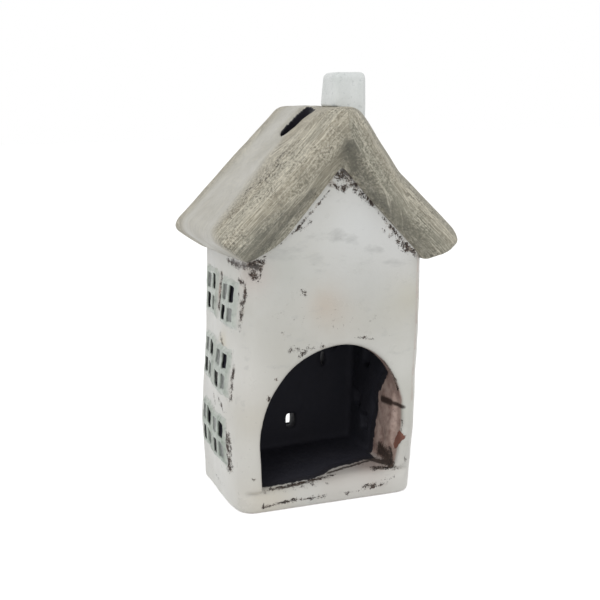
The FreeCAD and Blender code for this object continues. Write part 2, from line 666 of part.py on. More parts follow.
def place_plaque(body, x, y, z, lean):
    body.Placement = FreeCAD.Placement(Vector(0, 0, 0), FreeCAD.Rotation(Vector(0, 1, 0), 1))
    body.setExpression(".Placement.Base.x", x)
    body.setExpression(".Placement.Base.y", y)
    body.setExpression(".Placement.Base.z", z)
    body.setExpression(".Placement.Rotation.Angle", f"{lean} * 1 deg")


def make_plaque(name, plane, outward, outline, open_holes, closed_holes):
    """A thin plaque against a wall, padded outward (1 along the plane's normal, -1 against it).
    Open holes run through it and closed ones stop short; each is (across, up, width, height)."""
    body = new_body(name)
    face = new_sketch(body, "outline", plane)
    draw_rectangle(face, *outline)
    pad = add_pad(body, face, "size.plaque_thickness")
    pad.Reversed = outward < 0
    settle(pad)
    normal = Vector(1, 0, 0) if plane == "YZ" else Vector(0, -1, 0)
    level = outward * measure("size.plaque_thickness")
    rim = edges_where(pad, lambda point: abs(point.dot(normal) - level) < 1e-6)
    add_fillet(body, "rim", pad, rim, "size.plaque_edge")
    through = new_sketch(body, "open", plane)
    for hole in open_holes:
        draw_rectangle(through, *hole)
    add_pocket(body, through, "open_cut", "size.plaque_thickness * 3", midplane=True)
    recess = new_sketch(body, "closed", plane, f"{outward} * size.plaque_thickness")
    for hole in closed_holes:
        draw_rectangle(recess, *hole)
    add_pocket(body, recess, "closed_cut", "size.pane_recess", reversed_way=outward < 0)
    return body


def make_side_windows(side, outward, foot, lean, high_side):
    """The six window plaques of a side wall, lying on its leaning outer face. Each has four panes:
    the two on one diagonal are open, and the other two closed."""
    windows = []
    pane = ("size.pane_width", "size.pane_height")
    opened = [(across, up, *pane) for across, up in diagonal("0", "0", high_side)]
    closed = [(across, up, *pane) for across, up in diagonal("0", "0", -high_side)]
    for row, height, width, shift, spread in ROWS:
        for column, way in (("front", "-"), ("back", "+")):
            outline = ("0", "0", width, "size.plaque_height")
            name = f"{side}_window_{row}_{column}"
            window = make_plaque(name, "YZ", outward, outline, opened, closed)
            wall_x = f"{foot} + {height} * tan({lean})"
            place_plaque(window, wall_x, f"{shift} {way} {spread}", height, lean)
            windows.append(window)
    return windows


def make_back_windows():
    """The four slim window plaques of the back wall, in two columns over the door."""
    windows = []
    pane = ("size.slit_width", "size.pane_height")
    opened = [(across, up, *pane) for across, up in diagonal("0", "0", 1, SLIM_PITCH)]
    closed = [(across, up, *pane) for across, up in diagonal("0", "0", -1, SLIM_PITCH)]
    outline = ("0", "0", "place.slim_window", "place.slim_height")
    for row, height, middle in BACK_ROWS:
        for column, side in (("left", -1), ("right", 1)):
            name = f"back_window_{row}_{column}"
            window = make_plaque(name, "XZ", -1, outline, opened, closed)
            across = f"{middle} + {side} * size.back_spread"
            place_plaque(window, across, "-place.front_face", height, "0")
            windows.append(window)
    return windows


def make_door():
    """The door plaque on the back wall: an open light over a closed panel."""
    middle = "(size.door_foot + size.door_height / 2)"
    light = ("0", f"size.light_height - {middle}", "size.pane_width", "size.pane_height")
    panel = ("0", "(size.door_panel - size.door_height) / 2 + size.bar_width",
             "size.pane_width", "size.door_panel")
    outline = ("0", "0", "size.door_width", "size.door_height")
    door = make_plaque("back_door", "XZ", -1, outline, [light], [panel])
    place_plaque(door, "size.door_shift", "-place.front_face", middle, "0")
    return door


# ---------------------------------------------------------------- assembly

left_slope = make_roof_slope("roof_left_slope", -1, LEFT_ROOF, LEFT_HOLLOW,
                             ("place.left_tip_x", "place.left_tip_z"),
                             (("place.left_crest_x", "place.left_crest_z"),
                              "size.left_slope", "size.left_slope"))
cut_vent(left_slope)
right_slope = make_roof_slope("roof_right_slope", 1, RIGHT_ROOF, RIGHT_HOLLOW,
                              ("place.right_tip_x", "place.right_tip_z"),
                              (("place.flare_x", "place.flare_z"),
                               "size.right_slope", "size.flare_slope"))
pieces = [
    make_base_slab(),
    make_front_gable(),
    make_back_gable(),
    make_side_wall("left_wall", LEFT_SECTION, -1),
    make_side_wall("right_wall", RIGHT_SECTION, 1),
    left_slope,
    right_slope,
    make_chimney(),
    make_door(),
]
pieces += make_side_windows("left", -1, "place.left_foot", "size.left_lean", -1)
pieces += make_side_windows("right", 1, "place.right_foot", "size.right_lean", 1)
pieces += make_back_windows()
doc.recompute()

for item in doc.Objects:
    if "Invalid" in item.State or "Error" in item.State:
        raise ValueError(f"{item.Label}: {item.State}")
for piece in pieces:
    if piece.Shape.isNull() or not piece.Shape.isValid():
        raise ValueError(f"{piece.Label}: its shape is not valid")

os.makedirs("parts", exist_ok=True)
for piece in pieces:
    piece.Shape.exportStep(os.path.join("parts", f"{piece.Label}.step"))
    print(f"{piece.Label}: {piece.Shape.Volume / 1000:.2f} cm3")
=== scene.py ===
import math

import bmesh
import bpy
import numpy as np
from mathutils import Matrix, Vector, noise


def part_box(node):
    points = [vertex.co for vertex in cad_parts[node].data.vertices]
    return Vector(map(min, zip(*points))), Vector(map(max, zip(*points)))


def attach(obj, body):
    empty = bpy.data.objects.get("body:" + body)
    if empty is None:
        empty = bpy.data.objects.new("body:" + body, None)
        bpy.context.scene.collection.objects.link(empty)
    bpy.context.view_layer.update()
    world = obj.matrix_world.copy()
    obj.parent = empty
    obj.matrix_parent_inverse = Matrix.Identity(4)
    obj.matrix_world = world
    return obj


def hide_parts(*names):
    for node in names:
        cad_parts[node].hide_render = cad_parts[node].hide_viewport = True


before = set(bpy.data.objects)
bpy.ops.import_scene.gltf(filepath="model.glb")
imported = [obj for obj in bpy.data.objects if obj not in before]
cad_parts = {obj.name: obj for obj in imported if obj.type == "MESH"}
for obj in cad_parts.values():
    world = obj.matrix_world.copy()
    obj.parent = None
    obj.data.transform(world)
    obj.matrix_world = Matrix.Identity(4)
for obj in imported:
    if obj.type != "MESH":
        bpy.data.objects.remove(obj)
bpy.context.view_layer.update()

# ---------------------------------------------------------------- walls and base
# The box of the house: a base, two gable walls and two side walls, rolled out of earthenware clay,
# luted edge to edge by hand and glazed off-white over a dark wash, which shows through where the
# glaze was rubbed back. Inside, the chamber is glazed near black, and that glaze stops raggedly.

MM = 0.001
FRONT = -30.5
BACK = 30.5
SIDE_THICKNESS = 7.0
INTO_ROOF = 1.5    # how far the tops of the walls rise into the roof


def left_face(z):
    """Where the left wall's outer face stands at a height, in millimetres."""
    return -38 + z * math.tan(math.radians(2.26))


def right_face(z):
    return 38 + z * math.tan(math.radians(4.3))


def ramp(values, low, high):
    """0 up to low, 1 from high, and smooth between them."""
    share = np.clip((values - low) / (high - low), 0, 1)
    return share * share * (3 - 2 * share)


def read_places(mesh):
    """The mesh's points, in millimetres."""
    flat = np.empty(len(mesh.vertices) * 3)
    mesh.vertices.foreach_get("co", flat)
    return flat.reshape(-1, 3) / MM


def write_places(mesh, places):
    mesh.vertices.foreach_set("co", (places * MM).ravel())
    mesh.update()


def write_float(mesh, name, values):
    layer = mesh.attributes.new(name, "FLOAT", "POINT")
    layer.data.foreach_set("value", np.asarray(values, dtype=np.float32))


def luted(name, nodes, grain, swell=0.06, raise_above=None, plugs=()):
    """One closed skin of clay over copies of CAD nodes. Each copy swells by a hair, so that pieces
    that only touch run together, and a wall's top rises a little into the roof that sits on it.
    A plug is a thin pat of clay, from corner to corner, that leans as the right wall does."""
    lump = bmesh.new()
    for node in nodes:
        piece = bmesh.new()
        piece.from_mesh(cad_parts[node].data)
        bmesh.ops.remove_doubles(piece, verts=piece.verts, dist=0.002 * MM)
        piece.normal_update()
        for vert in piece.verts:
            vert.co += vert.normal * swell * MM
            if raise_above is not None and vert.co.z > raise_above * MM:
                vert.co.z += INTO_ROOF * MM
        copied = bpy.data.meshes.new(f"{node}_copy")
        piece.to_mesh(copied)
        piece.free()
        lump.from_mesh(copied)
        bpy.data.meshes.remove(copied)
    for low, high in plugs:
        cube = bmesh.ops.create_cube(lump, size=1)["verts"]
        low, high = Vector(low) * MM, Vector(high) * MM
        for vert in cube:
            vert.co = (low + high) / 2 + vert.co * (high - low)
            vert.co.x += (right_face(vert.co.z / MM) - right_face(0)) * MM
    mesh = bpy.data.meshes.new(f"{name}_lump")
    lump.to_mesh(mesh)
    lump.free()
    rough = bpy.data.objects.new(f"{name}_lump", mesh)
    bpy.context.scene.collection.objects.link(rough)
    voxels = rough.modifiers.new("run together", "REMESH")
    voxels.mode = "VOXEL"
    voxels.voxel_size = grain * MM
    skin = bpy.data.meshes.new_from_object(rough.evaluated_get(bpy.context.evaluated_depsgraph_get()))
    bpy.data.objects.remove(rough)
    skin.name = name
    return skin


def sponged(mesh, rounds):
    """Wipes the edges round, as a damp sponge does."""
    clay = bmesh.new()
    clay.from_mesh(mesh)
    for _ in range(rounds):
        bmesh.ops.smooth_vert(clay, verts=clay.verts, factor=0.5,
                              use_axis_x=True, use_axis_y=True, use_axis_z=True)
    clay.to_mesh(mesh)
    clay.free()


# The back wall's lights: plaque, half the width of a light, and the share of it that stays open.
LIGHTS = [("back_door", 3.4, 0.70)] + [(f"back_window_{row}_{column}", 1.75, 0.55)
                                       for row in ("upper", "lower") for column in ("left", "right")]
HALF_BAR = 1.25    # half the bar between the two lights of a back window

# Where the gap between the left wall's top pair of plaques starts, high up, and ends, low down.
GAP_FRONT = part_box("left_window_top_front")[1] / MM
GAP_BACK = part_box("left_window_top_back")[0] / MM

# The noise gets a fixed seed, because without one it would be another noise in each run.
noise.seed_set(1)


def wander(places, wave, shift=(0, 0, 0)):
    """Smooth noise at each point, in waves of so many millimetres."""
    shift = Vector(shift)
    return np.array([noise.noise_vector((Vector(place) + shift) / wave) for place in places])


def hand_pressed(places):
    """The points of any piece after the house has been pressed and paddled by hand: the side walls
    belly out, and everything wanders by a few tenths of a millimetre, pieces that touch together."""
    x, y, z = places.T
    fade = 9
    left = 1.0 - ramp(x, left_face(z), left_face(z) + fade)
    right = ramp(x, right_face(z) - fade, right_face(z))
    moved = places.copy()
    moved[:, 0] += right * np.interp(z, [0, 8, 18, 30, 50, 80, 104], [1.9, 2.0, 2.2, 2.4, 2.1, 1.6, 0.0])
    moved[:, 0] -= left * np.interp(z, [0, 7, 14, 28, 46, 66, 96], [0.0, 0.3, 0.9, 1.9, 1.3, 0.3, 0.0])

    # the left wall swells most by its front windows, and the clay there slid a little
    by_front = ramp(y, -31, -15) * (1 - ramp(y, -9, 24)) * left
    moved[:, 0] -= by_front * np.interp(z, [0, 10, 27, 57, 87, 104], [1.3, 1.2, 1.3, 1.9, 1.0, 0.0])
    slid = left * ramp(z, 4, 16) * (1 - ramp(z, 96, 104))
    moved[:, 1] += (slid * np.interp(y, [-30, -20, -3, 20], [0, 1, 1, 0])
                    * np.interp(z, [22, 53, 62, 83, 92, 100], [2.6, 2.7, 1.9, 3.0, 0.9, 0.5]))
    back_column = ramp(y, -2, 10) * (1 - ramp(y, 22, 30))
    moved[:, 2] += slid * back_column * np.interp(z, [20, 60, 92], [1.9, 1.9, 0.5])
    front_column = (1 - ramp(y, -6, 6)) * ramp(y, -30, -22)
    moved[:, 2] += slid * front_column * np.interp(z, [20, 60, 88], [0.9, 0.5, -1.3])

    # the top pair of plaques on the left wall was pushed apart
    parted = left * ramp(z, 70, 76) * (1 - ramp(z, 98, 103))
    moved[:, 1] += parted * np.interp(y, [GAP_FRONT.y - 9, GAP_FRONT.y, GAP_BACK.y, GAP_BACK.y + 10],
                                      [0, -1.5, 2.4, 0])

    # the lights in the back wall closed up a little as the glaze ran into them
    behind = ramp(y, 20, 23.5)
    for window, half_width, keep in LIGHTS:
        low, high = (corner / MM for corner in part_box(window))
        aside = half_width + HALF_BAR
        for offset in (0,) if window == "back_door" else (-aside, aside):
            spot = (low.x + high.x) / 2 + offset
            near = behind * (1 - ramp(abs(x - spot), half_width, half_width + 1.2))
            near *= (z > low.z) & (z < high.z)
            moved[:, 0] -= (1 - keep) * near * (x - spot)

    moved += 0.40 * wander(places, 30) + 0.16 * wander(places, 9, (90, 0, 0))
    firm = ramp(z, 0.5, 5)
    moved[:, 2] = np.maximum(z + (moved[:, 2] - z) * firm, 0)
    return moved


def finished(mesh, materials, nodes, inner=None):
    """The piece that stands for the nodes, smooth-shaded, in its glaze, on the house's one body. The
    faces whose points are all inner ones take the second material."""
    mesh.materials.clear()
    for material in materials:
        mesh.materials.append(material)
    for polygon in mesh.polygons:
        polygon.use_smooth = True
        if inner is not None and all(inner[vertex] for vertex in polygon.vertices):
            polygon.material_index = 1
    piece = bpy.data.objects.new(mesh.name, mesh)
    bpy.context.scene.collection.objects.link(piece)
    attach(piece, "root")
    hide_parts(*nodes)
    return piece


def rubbed(places, strokes):
    """How far the glaze is rubbed away at each point, 0 to 1. Each stroke runs from one spot to
    another, with its reach in millimetres and its strength."""
    worn = np.zeros(len(places))
    for start, end, reach, strength in strokes:
        start, run = np.array(start, float), np.array(end, float) - np.array(start, float)
        along = np.clip((places - start) @ run / max(run @ run, 1e-9), 0, 1)
        gap = np.linalg.norm(places - start - along[:, None] * run, axis=1)
        worn = np.maximum(worn, strength * np.clip(1 - gap / reach, 0, 1))
    return worn


def node(tree, kind, inputs=None, **settings):
    """A shader node; each of its inputs is a value or another node's output."""
    made = tree.nodes.new(kind)
    for name, value in settings.items():
        setattr(made, name, value)
    for name, value in (inputs or {}).items():
        if isinstance(value, bpy.types.NodeSocket):
            tree.links.new(value, made.inputs[name])
        else:
            made.inputs[name].default_value = value
    return made


def maths(tree, operation, first, second=0.0):
    return node(tree, "ShaderNodeMath", {0: first, 1: second}, operation=operation).outputs[0]


def times(tree, first, second):
    return maths(tree, "MULTIPLY", first, second)


def plus(tree, first, second):
    return maths(tree, "ADD", first, second)


def minus(tree, first, second):
    return maths(tree, "SUBTRACT", first, second)


def larger(tree, first, second):
    return maths(tree, "MAXIMUM", first, second)


def between(tree, value, low, high, out_low=0.0, out_high=1.0):
    """The value carried from low..high to out_low..out_high, held at both ends."""
    made = node(tree, "ShaderNodeMapRange", {"Value": value, "From Min": low, "From Max": high,
                                             "To Min": out_low, "To Max": out_high})
    return made.outputs["Result"]


def over(tree, under, colour, mask):
    """A colour laid over another through a mask."""
    made = node(tree, "ShaderNodeMix", {0: mask, 6: under, 7: colour}, data_type="RGBA")
    return made.outputs[2]


def layer(tree, name, output="Fac"):
    return node(tree, "ShaderNodeAttribute", attribute_name=name).outputs[output]


def new_group(name, inputs, outputs):
    """A shader node group with number sockets, its input values, and its output node."""
    tree = bpy.data.node_groups.new(name, "ShaderNodeTree")
    for socket, default in inputs.items():
        made = tree.interface.new_socket(socket, in_out="INPUT", socket_type="NodeSocketFloat")
        made.default_value = default
    for socket in outputs:
        tree.interface.new_socket(socket, in_out="OUTPUT", socket_type="NodeSocketFloat")
    return tree, node(tree, "NodeGroupInput").outputs, node(tree, "NodeGroupOutput")


def grain_noise(tree, size, seed, detail=4.0, roughness=0.6, stretch=(1, 1, 1), place=None):
    """Noise whose grains are size millimetres wide, read from Object coordinates."""
    if place is None:
        place = node(tree, "ShaderNodeTexCoord").outputs["Object"]
        place = node(tree, "ShaderNodeVectorMath", {0: place, 1: (1 / MM,) * 3},
                     operation="MULTIPLY").outputs[0]
    place = node(tree, "ShaderNodeVectorMath", {0: place, 1: stretch}, operation="MULTIPLY").outputs[0]
    shift = node(tree, "ShaderNodeCombineXYZ", {"X": seed, "Y": seed}).outputs[0]
    place = node(tree, "ShaderNodeVectorMath", {0: place, 1: shift}, operation="ADD").outputs[0]
    scale = maths(tree, "DIVIDE", 1.0, size)
    made = node(tree, "ShaderNodeTexNoise", {"Vector": place, "Scale": scale, "Detail": detail,
                                             "Roughness": roughness})
    return made.outputs["Fac"]


def make_flecks():
    """Flakes of glaze that are rubbed or chipped away where a piece is worn: crisp and ragged."""
    tree, given, result = new_group("flecks", {"Worn": 0.0, "Size": 1.0, "Seed": 0.0}, ["Mask"])
    fine = grain_noise(tree, given["Size"], given["Seed"], detail=5.0, roughness=0.75)
    clumps = grain_noise(tree, times(tree, given["Size"], 5.0), given["Seed"], detail=2.0)
    mixed = plus(tree, times(tree, fine, 0.60), times(tree, clumps, 0.40))
    edge = between(tree, given["Worn"], 0.0, 1.0, 0.68, 0.40)
    tree.links.new(between(tree, minus(tree, mixed, edge), -0.006, 0.008), result.inputs["Mask"])
    return tree


def make_mottle():
    """Soft clouds of tone, as a glaze has where it pooled thicker or thinner."""
    tree, given, result = new_group("mottle", {"Size": 10.0, "Seed": 0.0, "Contrast": 1.0}, ["Tone"])
    cloud = grain_noise(tree, given["Size"], given["Seed"], detail=3.0)
    centred = times(tree, minus(tree, cloud, 0.5), given["Contrast"])
    tree.links.new(between(tree, plus(tree, centred, 0.5), 0.2, 0.8), result.inputs["Tone"])
    return tree


def make_skin():
    """The height of a hand-wiped, glazed skin, in millimetres: slow ripples, and fine orange peel."""
    tree, given, result = new_group("skin", {"Ripple": 0.10, "Peel": 0.01, "Seed": 0.0}, ["Height"])
    ripples = grain_noise(tree, 5.0, given["Seed"], detail=2.0)
    peel = grain_noise(tree, 0.9, given["Seed"], detail=3.0)
    height = plus(tree, times(tree, ripples, given["Ripple"]), times(tree, peel, given["Peel"]))
    tree.links.new(height, result.inputs["Height"])
    return tree


FLECKS, MOTTLE, SKIN = make_flecks(), make_mottle(), make_skin()


def placed(tree, group, **values):
    """A node group in a material, with its own values; its first output."""
    return node(tree, "ShaderNodeGroup", values, node_tree=group).outputs[0]


def ragged(tree, value, grains, spread, low, high):
    """A mask that rises while the value goes from low to high. Noise breaks up its edge: it moves
    the value by up to half the spread, either way."""
    broken = times(tree, minus(tree, grains, 0.5), spread)
    return between(tree, plus(tree, value, broken), low, high)


def dulled(tree, rough, mask, least):
    """A roughness that is raised to at least so much where a mask shows."""
    return larger(tree, rough, times(tree, mask, least))


def new_material(name, slot_colour):
    """A material whose nodes start with only its Principled shader."""
    material = bpy.data.materials.new(name)
    material.use_nodes = True
    material.diffuse_color = (*slot_colour, 1)
    tree = material.node_tree
    shader = tree.nodes["Principled BSDF"]
    return material, tree, shader


def embossed(tree, shader, height, strength=1.0):
    """Sets the shader's normal from a height in millimetres."""
    bump = node(tree, "ShaderNodeBump", {"Height": height, "Distance": MM, "Strength": strength})
    tree.links.new(bump.outputs["Normal"], shader.inputs["Normal"])


def make_wall_glaze():
    material, tree, shader = new_material("wall_glaze", (0.80, 0.79, 0.77))
    clouds = placed(tree, MOTTLE, Size=24.0, Seed=3.0, Contrast=1.6)
    patches = placed(tree, MOTTLE, Size=9.0, Seed=11.0, Contrast=1.5)
    colour = over(tree, (0.625, 0.620, 0.588, 1), (0.560, 0.550, 0.500, 1), clouds)
    chalk = (0.665, 0.665, 0.640, 1)
    colour = over(tree, colour, chalk, times(tree, patches, 0.45))
    # tints in the glaze; the pale ones on the front edges, the gable's top and under the sill are partly
    # painted light
    tint = node(tree, "ShaderNodeAttribute", attribute_name="tint").outputs
    colour = over(tree, colour, tint["Color"], tint["Alpha"])

    # grey smears, where the wash was dragged across the glaze with a dry brush
    drag = grain_noise(tree, 1.0, 15.0, detail=4.0, roughness=0.62, stretch=(0.09, 0.2, 0.20))
    pressed = layer(tree, "smear")
    smear = between(tree, plus(tree, drag, times(tree, pressed, 0.24)), 0.60, 0.84)
    dry_grey = (0.42, 0.425, 0.41, 1)
    colour = over(tree, colour, dry_grey, times(tree, smear, 0.60))

    # the clay of the arch's reveal, which took the glaze thinly
    thin = grain_noise(tree, 3.5, 47.0, detail=5.0, roughness=0.65)
    raw = over(tree, (0.53, 0.39, 0.335, 1), (0.29, 0.17, 0.14, 1), between(tree, thin, 0.40, 0.66))
    reveal = between(tree, layer(tree, "reveal"), 0.0, 0.7)
    colour = over(tree, colour, raw, times(tree, reveal, 0.9))

    # grime and painted shade: dark smears under the eaves, under the roof's apex and in the corners round the
    # arch and the sill
    grime_edge = grain_noise(tree, 1.2, 49.0, detail=6.0, roughness=0.80)
    grime = ragged(tree, layer(tree, "grime"), grime_edge, 2.2, 0.42, 0.62)
    smut_and_shade_tone = between(tree, grime_edge, 0.50, 0.70)
    smut_and_shade = over(tree, (0.028, 0.020, 0.016, 1), (0.155, 0.112, 0.088, 1), smut_and_shade_tone)
    colour = over(tree, colour, smut_and_shade, times(tree, grime, 0.92))

    # the dark wash that shows where the glaze is rubbed back, and the brown halo round it
    worn = layer(tree, "worn")
    halo = placed(tree, FLECKS, Worn=times(tree, worn, 0.80), Size=1.1, Seed=5.0)
    halo_brown = (0.36, 0.300, 0.245, 1)
    colour = over(tree, colour, halo_brown, times(tree, halo, 0.50))
    flecks = placed(tree, FLECKS, Worn=worn, Size=0.55, Seed=20.0)
    wash_tone = placed(tree, MOTTLE, Size=1.0, Seed=7.0, Contrast=2.0)
    wash = over(tree, (0.015, 0.012, 0.011, 1), (0.075, 0.050, 0.037, 1), wash_tone)
    colour = over(tree, colour, wash, flecks)

    # bare red clay, where a chip is knocked out and under the foot, and the dark of a crack
    bare_edge = grain_noise(tree, 1.3, 31.0, detail=3.0)
    bare = ragged(tree, layer(tree, "bare"), bare_edge, 0.5, 0.48, 0.54)
    clay = over(tree, (0.150, 0.060, 0.045, 1), (0.265, 0.120, 0.085, 1), patches)
    colour = over(tree, colour, clay, bare)
    crack = between(tree, layer(tree, "crack"), 0.25, 0.60)
    crack_dark = (0.030, 0.018, 0.014, 1)
    colour = over(tree, colour, crack_dark, times(tree, crack, 0.92))

    # the chamber's dark glaze, with its ragged edge
    chamber_edge = grain_noise(tree, 2.4, 41.0, detail=5.0, roughness=0.6)
    chamber = ragged(tree, layer(tree, "chamber"), chamber_edge, 5.0, -0.15, 0.25)
    dark = over(tree, (0.020, 0.020, 0.027, 1), (0.028, 0.027, 0.033, 1), patches)
    colour = over(tree, colour, dark, chamber)
    tree.links.new(colour, shader.inputs["Base Color"])

    rough = between(tree, patches, 0.0, 1.0, 0.26, 0.40)
    rough = dulled(tree, dulled(tree, rough, flecks, 0.72), bare, 0.85)
    rough = node(tree, "ShaderNodeMix", {0: chamber, 2: rough, 3: 0.55}).outputs[0]
    tree.links.new(rough, shader.inputs["Roughness"])
    skin = placed(tree, SKIN, Ripple=0.14, Peel=0.012, Seed=2.0)
    furrow = plus(tree, times(tree, pressed, 0.5), 0.05)
    height = plus(tree, skin, times(tree, drag, furrow))
    height = minus(tree, height, times(tree, flecks, 0.10))
    height = minus(tree, height, times(tree, bare, 0.25))
    embossed(tree, shader, height)
    return material


def make_chamber_glaze(name, thin, thick):
    """The dark blue-black glaze inside, dulled by soot: its colours where thin and where thick."""
    material, tree, shader = new_material(name, (0.02, 0.02, 0.025))
    soot = placed(tree, MOTTLE, Size=7.0, Seed=44.0, Contrast=1.8)
    tree.links.new(over(tree, (*thin, 1), (*thick, 1), soot), shader.inputs["Base Color"])
    tree.links.new(between(tree, soot, 0.0, 1.0, 0.50, 0.68), shader.inputs["Roughness"])
    shader.inputs["Specular IOR Level"].default_value = 0.06
    embossed(tree, shader, placed(tree, SKIN, Ripple=0.25, Peel=0.03, Seed=9.0))
    return material


# The names of the window plaques, on the side walls and on the back wall.
SIDE_WINDOWS = [f"{side}_window_{row}_{column}" for side in ("left", "right")
                for row in ("top", "middle", "bottom") for column in ("front", "back")]
BACK_WINDOWS = [f"back_window_{row}_{column}" for row in ("upper", "lower")
                for column in ("left", "right")]

# Where the glaze is rubbed back on the walls, as strokes of (from, to, reach, strength).
WALL_STROKES = [
    # the front wall under the roof: apex, left rake, right rake, and the two corners
    ((8, FRONT, 139), (15, FRONT, 133.5), 6.0, 0.80),
    ((3, FRONT, 135.5), (9, FRONT, 134), 4.0, 0.66),
    ((14, FRONT, 135), (22, FRONT, 126), 4.0, 0.80),
    ((2.5, FRONT, 133), (-13, FRONT, 117), 1.3, 0.82),
    ((-6, FRONT, 121), (-9, FRONT, 118), 3.2, 0.66),
    ((-13, FRONT, 117), (-27, FRONT, 107), 1.0, 0.55),
    ((21, FRONT, 127), (29, FRONT, 117.5), 1.6, 0.74),
    ((26, FRONT, 117), (27, FRONT, 115), 1.6, 0.62),
    ((29, FRONT, 117.5), (43, FRONT, 103), 2.1, 0.78),
    ((31, FRONT, 113), (37, FRONT, 107), 4.0, 0.68),
    ((-33, FRONT, 105), (-30.5, FRONT, 99.5), 4.2, 0.92),
    ((-27.5, FRONT, 104.5), (-28.5, FRONT, 98), 1.6, 0.80),
    ((-35, FRONT + 2, 104), (-27, FRONT, 105.5), 3.0, 0.85),
    # flecks on the open wall and round the arch
    ((-10.2, FRONT, 92.7), (-8.6, FRONT, 90.6), 2.6, 0.66),
    ((-9.6, FRONT, 91.2), (-9.2, FRONT, 90.9), 1.0, 0.95),
    ((-30, FRONT, 90.9), (-30, FRONT, 90.5), 1.1, 0.80),
    ((-19, FRONT, 76.0), (-18.6, FRONT, 75.7), 0.8, 0.80),
    ((-16, FRONT, 68.5), (0, FRONT, 69), 2.8, 0.60),
    ((-12, FRONT, 66), (-8, FRONT, 67), 2.4, 0.62),
    ((14, FRONT, 71.5), (21, FRONT, 70), 1.8, 0.60),
    ((-22.3, FRONT, 57), (-22, FRONT, 56), 1.2, 0.78),
    ((-25.8, FRONT, 50), (-25.2, FRONT, 48.4), 1.8, 0.92),
    ((-32.8, FRONT, 15.4), (-32.2, FRONT, 14.8), 1.1, 0.95),
    ((-20, FRONT, 84), (26, FRONT, 76), 9.0, 0.20),
    # the strip under the sill
    ((-29, FRONT, 2.6), (-16, FRONT, 4.2), 1.5, 0.90),
    ((-16, FRONT, 4.2), (-1, FRONT, 3.4), 1.7, 0.80),
    ((-7, FRONT, 7.6), (0, FRONT, 7.6), 1.5, 0.86),
    ((8, FRONT, 3.4), (28, FRONT, 5.0), 1.5, 0.74),
    ((16, FRONT, 5), (22, FRONT, 5.6), 1.9, 0.78),
    ((25, FRONT, 7.0), (31, FRONT, 8), 1.6, 0.76),
    ((-28.9, FRONT, 8), (-28.7, FRONT, 3), 0.7, 0.90),
    ((34, FRONT, 9.5), (37, FRONT, 20), 2.0, 0.62),
    # the sill's top, and the dark foot of the right jamb
    ((-28, -29, 9), (2, -28.5, 10), 2.8, 0.72),
    ((-24, -26.6, 9), (6, -24.5, 10), 2.0, 0.92),
    ((-14, -29.6, 9), (-4, -29.4, 9.3), 1.3, 0.80),
    ((24, -25, 11.4), (31, -27, 12), 4.0, 0.95),
    ((31.0, -26, 13), (32.5, -23, 18), 3.6, 0.92),
    ((34, -29, 27), (34.6, -29, 32), 1.2, 0.86),
    ((34, -28, 46), (31, -27, 56), 2.4, 0.80),
    ((30, -27, 53), (22, -27, 62), 2.8, 0.74),
    ((33, -25, 33), (32, -20, 38), 3.0, 0.60),
    # the left wall: down the front edges of the front windows, between the top two, under the eave
    ((-33.7, -27.3, 96.5), (-33.8, -27.2, 90), 2.0, 0.98),
    ((-34.1, -26.4, 90), (-34.4, -25.6, 82), 1.8, 0.80),
    ((-34.5, -22, 98.5), (-34.2, -26, 97.5), 2.0, 0.90),
    ((-35, -3, 71), (-35, -12, 65), 3.4, 0.80),
    ((-36, -8, 44), (-36, -16, 40), 3.0, 0.70),
    ((-36.8, 2, 44), (-36.8, -2, 41), 2.0, 0.75),
    ((-37, -20.5, 20), (-37, -19.5, 17), 1.4, 0.74),
    ((-34, -6, 104), (-34, -22, 103), 2.8, 0.80),
    ((-37, 3.2, 38), (-37, 1, 38), 1.2, 0.66),
    ((-37.5, -10, 6), (-37.5, 20, 8), 1.3, 0.55),
    # the right and back walls, in the same manner
    ((45, -24, 101), (45, 26, 101), 2.6, 0.78),
    ((44, -27.5, 97), (44, -27, 77), 1.5, 0.84),
    ((42, 6, 66), (42, 4, 48), 1.5, 0.78),
    ((41, -27.5, 36), (41, -26.5, 18), 1.9, 0.82),
    ((41, 27, 30), (41, 26, 14), 1.5, 0.72),
    ((42, -8, 52), (42, 10, 80), 9.0, 0.34),
    ((-30, BACK, 105), (-10, BACK, 118), 1.8, 0.82),
    ((-9, BACK, 119), (8, BACK, 140), 2.2, 0.88),
    ((9, BACK, 140), (42, BACK, 104), 2.0, 0.86),
    ((30, BACK, 98), (31, BACK, 79), 1.4, 0.82),
    ((-9, BACK, 64), (-9, BACK, 45), 1.4, 0.74),
    ((11.6, BACK, 31), (11.6, BACK, 6), 1.4, 0.88),
    ((-30, BACK, 3.5), (30, BACK, 4.5), 1.4, 0.70),
    ((-10, BACK, 100), (20, BACK, 70), 10.0, 0.34),
]

# And beside the front edges of the left wall's front plaques, and in the gap between its top pair.
for row, reach, strength in (("top", 2.2, 0.72), ("middle", 2.8, 0.84), ("bottom", 5.0, 0.92)):
    low, high = (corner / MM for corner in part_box(f"left_window_{row}_front"))
    WALL_STROKES.append(((left_face(low.z), low.y - 1.2, low.z + 1),
                         (left_face(high.z), low.y - 1.8, (low.z + high.z) / 2 + 3), reach, strength))
GAP_MIDDLE = (GAP_FRONT.y + GAP_BACK.y) / 2
WALL_STROKES.append(((left_face(GAP_FRONT.z), GAP_MIDDLE, GAP_FRONT.z - 1),
                     (left_face(GAP_BACK.z), GAP_MIDDLE, GAP_BACK.z + 6), 2.2, 0.80))
